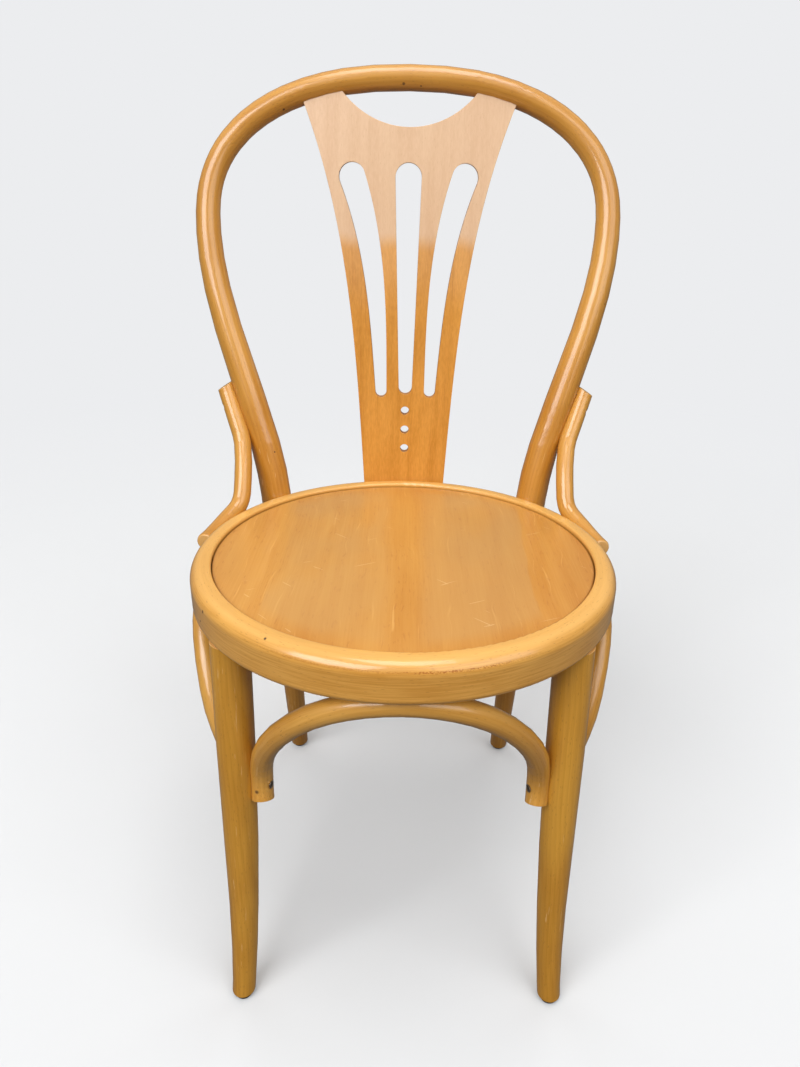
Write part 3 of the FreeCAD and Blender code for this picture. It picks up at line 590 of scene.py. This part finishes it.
def rod_beech(name, pale, deep, look, specks, lean, lacquer=BENT_LACQUER, deepens=0.0):
    """Beech of a rod, on the blank coordinates stored with it."""
    finish = new_finish(name)
    here, blank = finish.here(), finish.stored("blank", "Vector")
    height = finish.parts(here)[2]
    deepened = finish.ramp(height, deepens, deepens - DEEPENING)
    wood = rod_grain(finish, blank, pale, deep, look, lean, deepened)
    wood = finish.mix(rubbed_spots(finish, blank, height) * 0.5, wood, RUBBED_SPOT)
    pores = finish.noise(blank, (1500.0, 1500.0, 200.0))
    ends = finish.stored("end_grain", "Fac")
    wood = finish.mix(ends, wood, finish.mix(pores * 0.5, look.end_grain, SAWN_PORE))
    knocks = finish.knocks(here, specks)
    wood = finish.mix(knocks * 0.85, wood, ROD_KNOCK)
    worn = finish.math("MAXIMUM", ends * 0.8, knocks)
    return lacquered(finish, wood, blank, worn, lacquer)


# Coordinates stored with the meshes


def read(elements, field):
    """One vector for each corner or face of a mesh."""
    values = np.zeros(len(elements) * 3, np.float32)
    elements.foreach_get(field, values)
    return values.reshape(-1, 3).astype(float)


def store(mesh, name, kind, domain, field, values):
    """Keeps values with the mesh under a name."""
    layer = mesh.attributes.new(name, kind, domain)
    layer.data.foreach_set(field, np.ascontiguousarray(values, np.float32).ravel())


def unit(vectors):
    """Vectors of length 1."""
    return vectors / np.linalg.norm(vectors, axis=-1, keepdims=True)


def nearest(places, line):
    """For each place, the number of the nearest point of the line."""
    found = []
    for some in np.array_split(places, max(1, len(places) // PLACES_AT_ONCE)):
        found.append(np.argmin((line**2).sum(1) - 2.0 * some @ line.T, axis=1))
    return np.concatenate(found)


def edge_ends(mesh):
    """The two ends of every edge of a mesh."""
    pairs = np.zeros(len(mesh.edges) * 2, np.int32)
    mesh.edges.foreach_get("vertices", pairs)
    places = read(mesh.vertices, "co")
    return places[pairs[::2]], places[pairs[1::2]]


def cut_across(tails, heads, centre, heading):
    """Where the edges near centre pass through a plane that is square to heading."""
    below, above = (tails - centre) @ heading, (heads - centre) @ heading
    crossing = (below < 0.0) != (above < 0.0)
    below, above = below[crossing], above[crossing]
    cut = tails[crossing] + (heads - tails)[crossing] * (below / (below - above))[:, None]
    return cut[np.linalg.norm(cut - centre, axis=1) < CUT_REACH]


def circle_middle(cut, side, other):
    """Middle of the circle that a cut across a rod makes, without what a notch takes from it."""
    flat = np.stack([cut @ side, cut @ other], axis=1)
    kept = flat
    for _ in range(2):
        terms = np.column_stack([2.0 * kept, np.ones(len(kept))])
        x, y = np.linalg.lstsq(terms, (kept**2).sum(1), rcond=None)[0][:2]
        away = np.linalg.norm(flat - (x, y), axis=1)
        kept = flat[away > NOTCH_SHARE * np.quantile(away, RADIUS_SHARE)]
    return x, y


def middle_line(mesh, end, heading, across):
    """Middle of a bent rod, cut by cut, from the end that lies furthest towards end."""
    places = read(mesh.vertices, "co")
    tails, heads = edge_ends(mesh)
    heading, across = np.array(heading), np.array(across)
    centre = places[np.argmax(places @ np.array(end))] + heading * FIRST_CUT
    line = []
    while True:
        cut = cut_across(tails, heads, centre, heading)
        if len(cut) < FEWEST_IN_CUT:
            break
        side = unit(across - heading * (heading @ across))
        other = np.cross(heading, side)
        x, y = circle_middle(cut, side, other)
        line.append(heading * (centre @ heading) + side * x + other * y)
        if len(line) > 3:
            heading = unit(line[-1] - line[-4])
        centre = line[-1] + heading * CUT_GAP
    line = np.array(line[:-1])
    line[1:-1] = (line[:-2] + 2.0 * line[1:-1] + line[2:]) / 4.0
    return line


def finer(line):
    """The same line with more points, each stretch between two cuts divided evenly."""
    at = np.linspace(0.0, len(line) - 1.0, (len(line) - 1) * STEPS_BETWEEN_CUTS + 1)
    return np.stack([np.interp(at, np.arange(len(line)), part) for part in line.T], axis=1)


def unbend(node, end, heading, across):
    """Stores where each spot of a rod lay in the straight blank, and which faces are sawn ends."""
    mesh = SOLIDS[node].data
    line = finer(middle_line(mesh, end, heading, across))
    heading = unit(np.gradient(line, axis=0))
    side = np.array(across)
    side = unit(side - heading * (heading @ side)[:, None])
    other = np.cross(heading, side)
    steps = np.linalg.norm(np.diff(line, axis=0), axis=1)
    travelled = BLANK_STARTS[node] + np.concatenate([[0.0], np.cumsum(steps)])
    places = read(mesh.vertices, "co")
    spot = nearest(places, line)
    away = places - line[spot]
    x, y, z = ((away * axis[spot]).sum(1) for axis in (side, other, heading))
    blank = np.stack([x, y, z + travelled[spot]], axis=1)
    store(mesh, "blank", "FLOAT_VECTOR", "POINT", "vector", blank)
    beside = nearest(read(mesh.polygons, "center"), line)
    facing = (read(mesh.polygons, "normal") * heading[beside]).sum(1)
    store(mesh, "end_grain", "FLOAT", "FACE", "value", np.abs(facing) > SAWN_FACING)


def store_ply_depth(node):
    """Stores how deep each spot of the pressed splat lies between its front, 0, and its back, 1."""
    mesh = SOLIDS[node].data
    places = read(mesh.vertices, "co")
    gaps = []
    for forward in (True, False):
        chosen = {
            vertex for face in mesh.polygons for vertex in face.vertices
            if abs(face.normal.y) > VENEER_FACING and (face.normal.y < 0.0) == forward
        }
        tree = KDTree(len(chosen))
        for vertex in chosen:
            tree.insert(places[vertex], vertex)
        tree.balance()
        gaps.append(np.array([tree.find(place)[2] for place in places]))
    store(mesh, "ply_depth", "FLOAT", "POINT", "value", gaps[0] / (gaps[0] + gaps[1]))


def dress(nodes, material):
    """Gives CAD nodes a finish and smooth shading that keeps their real edges."""
    for node in nodes:
        piece = SOLIDS[node]
        mesh = piece.data
        with bpy.context.temp_override(object=piece, active_object=piece, selected_objects=[piece]):
            bpy.ops.mesh.customdata_custom_splitnormals_clear()
        mesh.materials.clear()
        mesh.materials.append(material)
        mesh.polygons.foreach_set("material_index", np.zeros(len(mesh.polygons), np.int32))
        mesh.polygons.foreach_set("use_smooth", np.ones(len(mesh.polygons), bool))
        weld = piece.modifiers.new("Weld", "WELD")
        weld.merge_threshold = WELD_GAP
        split = piece.modifiers.new("Edges", "EDGE_SPLIT")
        split.split_angle = SHARP_ANGLE
        even = piece.modifiers.new("Even shading", "WEIGHTED_NORMAL")
        even.mode, even.keep_sharp = "FACE_AREA", True


# Operators


class CHAIR_OT_back_hoop(bpy.types.Operator):
    """Bent beech for the hoop that is both rear legs and the back"""

    bl_idname = "chair.back_hoop"
    bl_label = "Back hoop"

    def execute(self, context):
        look = context.scene.bistro_chair.rods
        unbend("back_hoop", LOW_SIDE, UPWARDS, REARWARDS)
        beech = rod_beech(
            "Bent beech of the hoop", look.bent_pale, look.bent_deep, look, HOOP_SPECKS, HOOP_LEAN,
            deepens=HOOP_DEEPENS,
        )
        dress(["back_hoop"], beech)
        return {"FINISHED"}


class CHAIR_OT_hip_braces(bpy.types.Operator):
    """Bent beech for the two braces between hoop and seat ring"""

    bl_idname = "chair.hip_braces"
    bl_label = "Hip braces"

    def execute(self, context):
        look = context.scene.bistro_chair.rods
        beech = rod_beech(
            "Bent beech of the braces", look.bent_pale, look.bent_deep, look, [], BRACE_LEAN,
        )
        for node in ("hip_brace_right", "hip_brace_left"):
            unbend(node, UPWARDS, DOWNWARDS, SIDEWAYS)
            dress([node], beech)
        return {"FINISHED"}


class CHAIR_OT_arches(bpy.types.Operator):
    """Bent beech for the four arches under the seat ring"""

    bl_idname = "chair.arches"
    bl_label = "Arches"

    def execute(self, context):
        look = context.scene.bistro_chair.rods
        beech = rod_beech(
            "Bent beech of the arches", look.arch_pale, look.arch_deep, look, ARCH_SPECKS, ARCH_LEAN,
        )
        for node, end, across in (
            ("arch_front", LOW_SIDE, REARWARDS),
            ("arch_rear", LOW_SIDE, REARWARDS),
            ("arch_right", LOW_FRONT, SIDEWAYS),
            ("arch_left", LOW_FRONT, SIDEWAYS),
        ):
            unbend(node, end, UPWARDS, across)
            dress([node], beech)
        return {"FINISHED"}


class CHAIR_OT_front_legs(bpy.types.Operator):
    """Turned beech for the two front legs"""

    bl_idname = "chair.front_legs"
    bl_label = "Front legs"

    def execute(self, context):
        look = context.scene.bistro_chair.rods
        beech = rod_beech(
            "Turned beech of the legs", look.turned_pale, look.turned_deep, look, [], LEG_LEAN,
            lacquer=TURNED_LACQUER,
        )
        for node in ("front_leg_right", "front_leg_left"):
            unbend(node, DOWNWARDS, UPWARDS, REARWARDS)
            dress([node], beech)
        return {"FINISHED"}


class CHAIR_OT_seat_ring(bpy.types.Operator):
    """Bent beech for the seat ring, its grain running round it"""

    bl_idname = "chair.seat_ring"
    bl_label = "Seat ring"

    def execute(self, context):
        settings = context.scene.bistro_chair
        low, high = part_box("seat_ring")
        middle, reach = (low.y + high.y) / 2, (high.x - low.x) / 2
        finish = new_finish("Bent beech of the seat ring")
        here = finish.here()
        x, y, z = finish.parts(here)
        forward = middle - y
        outwards = finish.math("SQRT", x * x + forward * forward) - reach
        above = z - high.z
        turn = finish.math("ARCTAN2", x, forward)
        blank = finish.joined(outwards, above, turn * reach)
        wood = self.grain(finish, blank, outwards, above, settings)
        bruise = self.bruise(finish, here, x, above)
        bruise = bruise * finish.ramp(forward, reach * 0.72, reach * 0.96)
        wood = finish.mix(bruise, wood, settings.seat.ring_worn)
        # Painted shade on the ring's inner wall, in the gap next to the panel.
        gap_shade = finish.ramp(outwards, *RING_GAP_SHADE_INSIDE) * finish.ramp(above, *RING_GAP_SHADE_BELOW)
        wood = finish.mix(gap_shade * 0.35, wood, settings.seat.shadow_gap)
        knocks = finish.knocks(here, RING_SPECKS)
        wood = finish.mix(knocks * 0.9, wood, RING_KNOCK)
        worn = finish.math("MAXIMUM", bruise * 0.2, knocks)
        dress(["seat_ring"], lacquered(finish, wood, blank, worn, RING_LACQUER))
        return {"FINISHED"}

    @staticmethod
    def grain(finish, blank, outwards, above, settings):
        """Rings, clouds, fibres and lines round the ring, most lines on its side, with painted light
        on top.
        """
        rings = growth_rings(finish, blank, settings.rods.ring_gap, RING_PITH, RING_LEAN)
        side = finish.ramp(outwards, *RING_SIDE)
        lines = finish.patches(blank, (760.0, 760.0, 26.0), 3.0, 0.36, 0.66)
        lines = lines * (0.35 + side * 0.65)
        clouds = finish.patches(blank, (26.0, 26.0, 6.0), 3.0, 0.3, 0.7)
        tone = rings * 0.12 + clouds * 0.34 + fibres(finish, blank) * 0.14 + lines * 0.40
        wood = finish.mix(tone, settings.seat.ring_pale, settings.seat.ring_deep)
        # Painted light: the ring's top face is paler, as if lit from above.
        wood = finish.mix(finish.ramp(above, *LIT_RING_TOP) * 0.35, wood, PAINTED_TOP_LIGHT)
        flecks = ray_flecks(finish, blank, settings.rods.fleck_width, 0.6)
        return finish.mix(flecks * 0.36, wood, RING_FLECK)

    @staticmethod
    def bruise(finish, here, x, above):
        """Speckled band just below the ring's top edge, strongest a little right of the middle."""
        wander = finish.noise(here, (30.0, 30.0, 0.0)) * BRUISE_WANDER
        off_band = finish.math("ABSOLUTE", above + wander + BRUISE_BELOW_TOP)
        rim = finish.ramp(off_band, *BRUISE_BAND)
        right = finish.ramp(finish.math("ABSOLUTE", x - BRUISE_MIDDLE), *BRUISE_SPREAD)
        speckled = finish.patches(here, (600.0, 600.0, 900.0), 3.0, 0.44, 0.60)
        return rim * speckled * (0.40 + right * 0.55)


class CHAIR_OT_seat_panel(bpy.types.Operator):
    """Beech veneer for the round seat panel, its figure running from front to back"""

    bl_idname = "chair.seat_panel"
    bl_label = "Seat panel"

    def execute(self, context):
        look = context.scene.bistro_chair.seat
        low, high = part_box("seat_panel")
        middle, reach = (low.y + high.y) / 2, (high.x - low.x) / 2
        finish = new_finish("Beech veneer of the seat")
        here = finish.here()
        x, y, z = finish.parts(here)
        blank = finish.joined(x, z, y)
        drift = finish.noise(here, (6.0, 5.0, 1.0), 3.0, 0.3) - 0.5
        across = x + drift * FIGURE_DRIFT
        wood = self.veneer(finish, here, blank, across, y, look)
        distance = finish.vector("DISTANCE", here, (0.0, middle, high.z), out="Value")
        # Painted reflection of the wall in two greyish patches; the same patches also dull the
        # lacquer.
        wall_reflection = self.wall_reflection(finish, here, across)
        wall_reflection = wall_reflection * finish.ramp(distance, reach * 0.97, reach * 0.85)
        wood = finish.mix(wall_reflection * 0.50, wood, look.panel_reflection)
        # Painted shade on the panel's edge, where it meets the ring.
        gap_shade = finish.ramp(distance, reach * 0.985, reach * 0.997)
        wood = finish.mix(gap_shade * 0.4, wood, look.shadow_gap)
        beech = lacquered(finish, wood, blank, wall_reflection * 0.25, PANEL_LACQUER, scratched=True)
        dress(["seat_panel"], beech)
        return {"FINISHED"}

    @staticmethod
    def veneer(finish, here, blank, across, y, look):
        """Bands, clouds, fibres, pale lines and dark dashes that run from front to back."""
        figure = finish.noise(finish.joined(across, 0.0, y), (62.0, 1.0, 2.4), 3.0)
        band = finish.ramp(figure, 0.30, 0.70)
        clouds = finish.patches(here, (9.0, 4.0, 1.0), 2.0, 0.30, 0.70)
        tone = band * 0.34 + fibres(finish, blank) * 0.20 + clouds * 0.46
        wood = finish.mix(tone, look.panel_pale, look.panel_deep)
        line = finish.patches(finish.joined(across, 4.0, y), (240.0, 1.0, 9.0), 2.0, 0.63, 0.71)
        wood = finish.mix(line * 0.28, wood, PANEL_LINE)
        dash = finish.patches(finish.joined(across, 9.0, y), (420.0, 1.0, 70.0), 2.0, 0.58, 0.68)
        dash = dash * finish.ramp(figure, 0.42, 0.56)
        return finish.mix(dash * 0.34, wood, PANEL_DASH)

    @staticmethod
    def wall_reflection(finish, here, across):
        """Two patches of painted wall reflection, one on each side of the middle."""
        aside = finish.math("ABSOLUTE", across)
        patches = finish.ramp(aside, *WALL_REFLECTION_FROM) * finish.ramp(aside, *WALL_REFLECTION_TO)
        return patches * finish.patches(here, (8.0, 5.0, 1.0), 2.0, 0.30, 0.50)


class CHAIR_OT_back_splat(bpy.types.Operator):
    """Beech veneer for the pierced splat, with its plies showing in the slots"""

    bl_idname = "chair.back_splat"
    bl_label = "Back splat"

    def execute(self, context):
        look = context.scene.bistro_chair.seat
        store_ply_depth("back_splat")
        finish = new_finish("Beech veneer of the splat")
        here = finish.here()
        # Painted sky reflection: the veneer is paler high on the splat.
        sky_reflection = self.sky_reflection(finish, here, look)
        wood = self.veneer(finish, here, sky_reflection, look)
        wood = finish.mix(self.plies(finish), wood, look.ply_dark)
        dress(["back_splat"], lacquered(finish, wood, here, 0.0, SPLAT_LACQUER, edge_tone=0.0))
        return {"FINISHED"}

    @staticmethod
    def sky_reflection(finish, here, look):
        """Share of the painted sky reflection on the veneer: 0 low on the splat and 1 high on it."""
        low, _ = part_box("back_splat")
        start = low.z + look.reflection_rise
        ragged = finish.noise(here, (60.0, 1.0, 8.0), 1.0) * REFLECTION_RAGGED
        level = finish.parts(here)[2] + ragged
        sharp = finish.ramp(level, start, start + look.reflection_length)
        gentle = finish.ramp(level, start - REFLECTION_GENTLE, start)
        return sharp * 0.82 + gentle * 0.18

    @staticmethod
    def veneer(finish, here, sky_reflection, look):
        """Contours, bands, fibres, strokes, veins and flecks that run up the splat, paler high up
        under the painted sky reflection.
        """
        hills = finish.noise(here, (12.0, 1.0, 2.6), 2.0, 0.3)
        contour = finish.ramp(finish.math("SINE", hills * 40.0), -0.6, 1.0)
        band = finish.ramp(finish.noise(here, (95.0, 1.0, 4.0), 3.0, 0.2), 0.36, 0.64)
        strokes = finish.patches(here, (620.0, 1.0, 130.0), 2.0, 0.36, 0.64)
        tone = contour * 0.18 + band * 0.34 + fibres(finish, here) * 0.20 + strokes * 0.28
        # Painted sky reflection: the figure is paler high on the splat.
        pale = finish.mix(sky_reflection, look.splat_pale, look.reflection_pale)
        deep = finish.mix(sky_reflection, look.splat_deep, look.reflection_deep)
        wood = finish.mix(tone, pale, deep)
        veins = finish.patches(here, (520.0, 1.0, 11.0), 2.0, 0.60, 0.70) * band
        wood = finish.mix(veins * (1 - sky_reflection * 0.8) * 0.34, wood, SPLAT_VEIN)
        flecks = ray_flecks(finish, here, VENEER_FLECK, 0.35)
        return finish.mix(flecks * 0.20, wood, SPLAT_FLECK)

    @staticmethod
    def plies(finish):
        """How dark the cut plies are in the slots and holes, and 0 on the faces."""
        depth = finish.stored("ply_depth", "Fac")
        inside = finish.ramp(depth, 0.02, 0.06) * finish.ramp(depth, 0.98, 0.94)
        wave = finish.math("SINE", depth * (2.0 * math.pi * PLY_PAIRS))
        return inside * (0.30 + finish.ramp(wave, -0.3, 0.5) * 0.40)


class CHAIR_OT_fasteners(bpy.types.Operator):
    """Plated steel for the screws, bolts, washers and nuts"""

    bl_idname = "chair.fasteners"
    bl_label = "Screws and bolts"

    def execute(self, context):
        look = context.scene.bistro_chair.trim
        for name, words, count in (
            ("Plated steel of the screws", ("screw",), 260.0),
            ("Plated steel of the bolts", ("bolt", "washer", "nut"), 180.0),
        ):
            material = self.plated_steel(name, count, look)
            dress([node for node in SOLIDS if any(word in node for word in words)], material)
        return {"FINISHED"}

    @staticmethod
    def plated_steel(name, count, look):
        """Brushed steel with this many dull patches to a metre, bright along its edges."""
        finish = new_finish(name)
        here = finish.here()
        rounded, edge = finish.edge(METAL_EDGE)
        dull = finish.patches(here, (count, count, count), 4.0, 0.38, 0.66)
        brushed = finish.noise(here, (count * 9, count * 9, count))
        steel = finish.mix(dull * 0.7, look.steel, look.tarnish)
        steel = finish.mix(edge * 0.5, steel, BRIGHT_STEEL)
        roughness = 0.24 + dull * 0.22 + brushed * 0.08
        return finish.surface(
            steel, roughness, brushed, rounded, METAL_RELIEF, {"Metallic": 1.0},
        )


class CHAIR_OT_glides(bpy.types.Operator):
    """Scuffed black plastic for the four foot glides"""

    bl_idname = "chair.glides"
    bl_label = "Glides"

    def execute(self, context):
        look = context.scene.bistro_chair.trim
        finish = new_finish("Black plastic of the glides")
        here = finish.here()
        rounded, edge = finish.edge(PLASTIC_EDGE)
        grit = finish.noise(here, (420.0, 420.0, 420.0), 4.0)
        rub = finish.ramp(finish.parts(here)[2], *GLIDE_RUB) * finish.ramp(grit, 0.35, 0.65)
        scuffed = finish.math("MAXIMUM", rub, edge * 0.3)
        plastic = finish.mix(scuffed, look.glide, look.glide_scuff)
        roughness = 0.42 + grit * 0.16 + rub * 0.25
        material = finish.surface(
            plastic, roughness, grit, rounded, PLASTIC_RELIEF, {"IOR": 1.48},
        )
        dress([node for node in SOLIDS if node.startswith("glide")], material)
        return {"FINISHED"}


class CHAIR_OT_stage(bpy.types.Operator):
    """Pale floor and backdrop, soft lamps and the camera"""

    bl_idname = "chair.stage"
    bl_label = "Stage"

    def execute(self, context):
        scene = context.scene
        look = scene.bistro_chair.stage
        self.make_floor(look)
        self.make_sky(scene, look)
        for name, place, size, target, setting in LAMPS:
            self.make_lamp(scene, name, place, size, target, getattr(look, setting))
        self.make_camera(scene, look)
        scene.view_settings.view_transform = "Standard"
        return {"FINISHED"}

    @staticmethod
    def make_floor(look):
        """A disc under the chair that keeps its shadow and fades into the backdrop."""
        bpy.ops.object.select_all(action="DESELECT")
        bpy.ops.mesh.primitive_circle_add(
            vertices=128, radius=look.floor_radius, fill_type="NGON",
            location=(0.0, 0.0, -FLOOR_DROP),
        )
        floor = bpy.context.object
        floor.name = "floor"
        bpy.ops.object.transform_apply(location=True, rotation=True, scale=True)
        floor.data.materials.append(CHAIR_OT_stage.floor_finish(look))

    @staticmethod
    def floor_finish(look):
        """Pale matt floor that turns into the backdrop further out; the chair sees it darker."""
        finish = new_finish("Pale studio floor")
        here = finish.here()
        grain = finish.noise(here, (40.0, 40.0, 40.0), 3.0)
        seen = finish.node("ShaderNodeLightPath", None, None, "Is Camera Ray")
        base = finish.mix(grain * 0.05, look.floor, FLOOR_GRAIN)
        base = finish.mix(seen, FLOOR_SEEN_FROM_CHAIR, base)
        matt = finish.node("ShaderNodeBsdfDiffuse", None, {"Color": base, "Roughness": 0.6})
        plain = finish.node(
            "ShaderNodeEmission", None, {"Color": opaque(look.backdrop), "Strength": 1.0},
        )
        away = finish.vector("LENGTH", here, out="Value")
        fade = finish.ramp(away, look.fade_start, look.fade_end) * seen
        ground = finish.node("ShaderNodeMixShader", None, {0: fade, 1: matt, 2: plain})
        finish.node("ShaderNodeOutputMaterial", None, {"Surface": ground})
        return finish.owner

    @staticmethod
    def make_sky(scene, look):
        """Soft light from above and in front, dim low down, and a plain backdrop to the camera."""
        scene.world = bpy.data.worlds.new("Soft room")
        finish = Finish(scene.world)
        white = (1.0, 1.0, 1.0)
        direction = finish.node("ShaderNodeTexCoord", None, None, "Generated")
        _, rear, up = finish.parts(direction)
        level = finish.ramp(up - rear * 0.12, 0.25, 0.75, look.sky_low, look.sky_high)
        seen = finish.node("ShaderNodeLightPath", None, None, "Is Camera Ray")
        soft, plain = (
            finish.node("ShaderNodeBackground", None, {"Color": opaque(paint), "Strength": strength})
            for paint, strength in ((white, level), (look.backdrop, 1.0))
        )
        both = finish.node("ShaderNodeMixShader", None, {0: seen, 1: soft, 2: plain})
        finish.node("ShaderNodeOutputWorld", None, {"Surface": both})

    @staticmethod
    def make_lamp(scene, name, place, size, target, watts):
        """A large soft lamp; one behind the chair lights it without showing in its gloss."""
        data = bpy.data.lights.new(name, "AREA")
        data.shape, data.energy = "RECTANGLE", watts
        data.size, data.size_y = size
        lamp = bpy.data.objects.new(name, data)
        scene.collection.objects.link(lamp)
        lamp.location = place
        lamp.rotation_euler = (Vector(target) - Vector(place)).to_track_quat("-Z", "Y").to_euler()
        lamp.visible_camera = False
        lamp.visible_glossy = place[1] < 0.0

    @staticmethod
    def make_camera(scene, look):
        """The camera at the height and angle of the reference view."""
        data = bpy.data.cameras.new("Camera")
        data.lens, data.sensor_width = look.lens, SENSOR_WIDTH
        data.clip_start, data.clip_end = NEAREST_SEEN, FURTHEST_SEEN
        camera = bpy.data.objects.new("Camera", data)
        scene.collection.objects.link(camera)
        tilt = Matrix.Rotation(math.pi / 2 - look.camera_tilt, 4, "X")
        roll = Matrix.Rotation(look.camera_roll, 4, "Z")
        camera.matrix_world = Matrix.Translation(look.camera_place) @ tilt @ roll
        scene.camera = camera


OPERATORS = (
    CHAIR_OT_back_hoop, CHAIR_OT_hip_braces, CHAIR_OT_arches, CHAIR_OT_front_legs,
    CHAIR_OT_seat_ring, CHAIR_OT_seat_panel, CHAIR_OT_back_splat, CHAIR_OT_fasteners,
    CHAIR_OT_glides, CHAIR_OT_stage,
)


class CHAIR_PT_pieces(bpy.types.Panel):
    """Lists the chair's pieces and the colours of their finishes."""

    bl_idname = "CHAIR_PT_pieces"
    bl_label = "Bistro Chair"
    bl_space_type = "VIEW_3D"
    bl_region_type = "UI"
    bl_category = "Bistro Chair"

    def draw(self, context):
        settings = context.scene.bistro_chair
        for operator in OPERATORS:
            self.layout.operator(operator.bl_idname)
        for finishes in (settings.rods, settings.seat, settings.trim, settings.stage):
            box = self.layout.box()
            for name in finishes.bl_rna.properties.keys():
                if name not in {"rna_type", "name"}:
                    box.prop(finishes, name)


CLASSES = (
    RodFinish, SeatFinish, TrimFinish, StageSettings, ChairSettings, *OPERATORS, CHAIR_PT_pieces,
)


def register():
    """Adds the classes and the chair's settings to Blender."""
    for cls in CLASSES:
        bpy.utils.register_class(cls)
    bpy.types.Scene.bistro_chair = bpy.props.PointerProperty(type=ChairSettings)


def unregister():
    """Takes them away again."""
    del bpy.types.Scene.bistro_chair
    for cls in reversed(CLASSES):
        bpy.utils.unregister_class(cls)


def main():
    """Finishes every piece and sets the stage."""
    register()
    for operator in OPERATORS:
        family, name = operator.bl_idname.split(".")
        getattr(getattr(bpy.ops, family), name)()


if __name__ == "__main__":
    main()
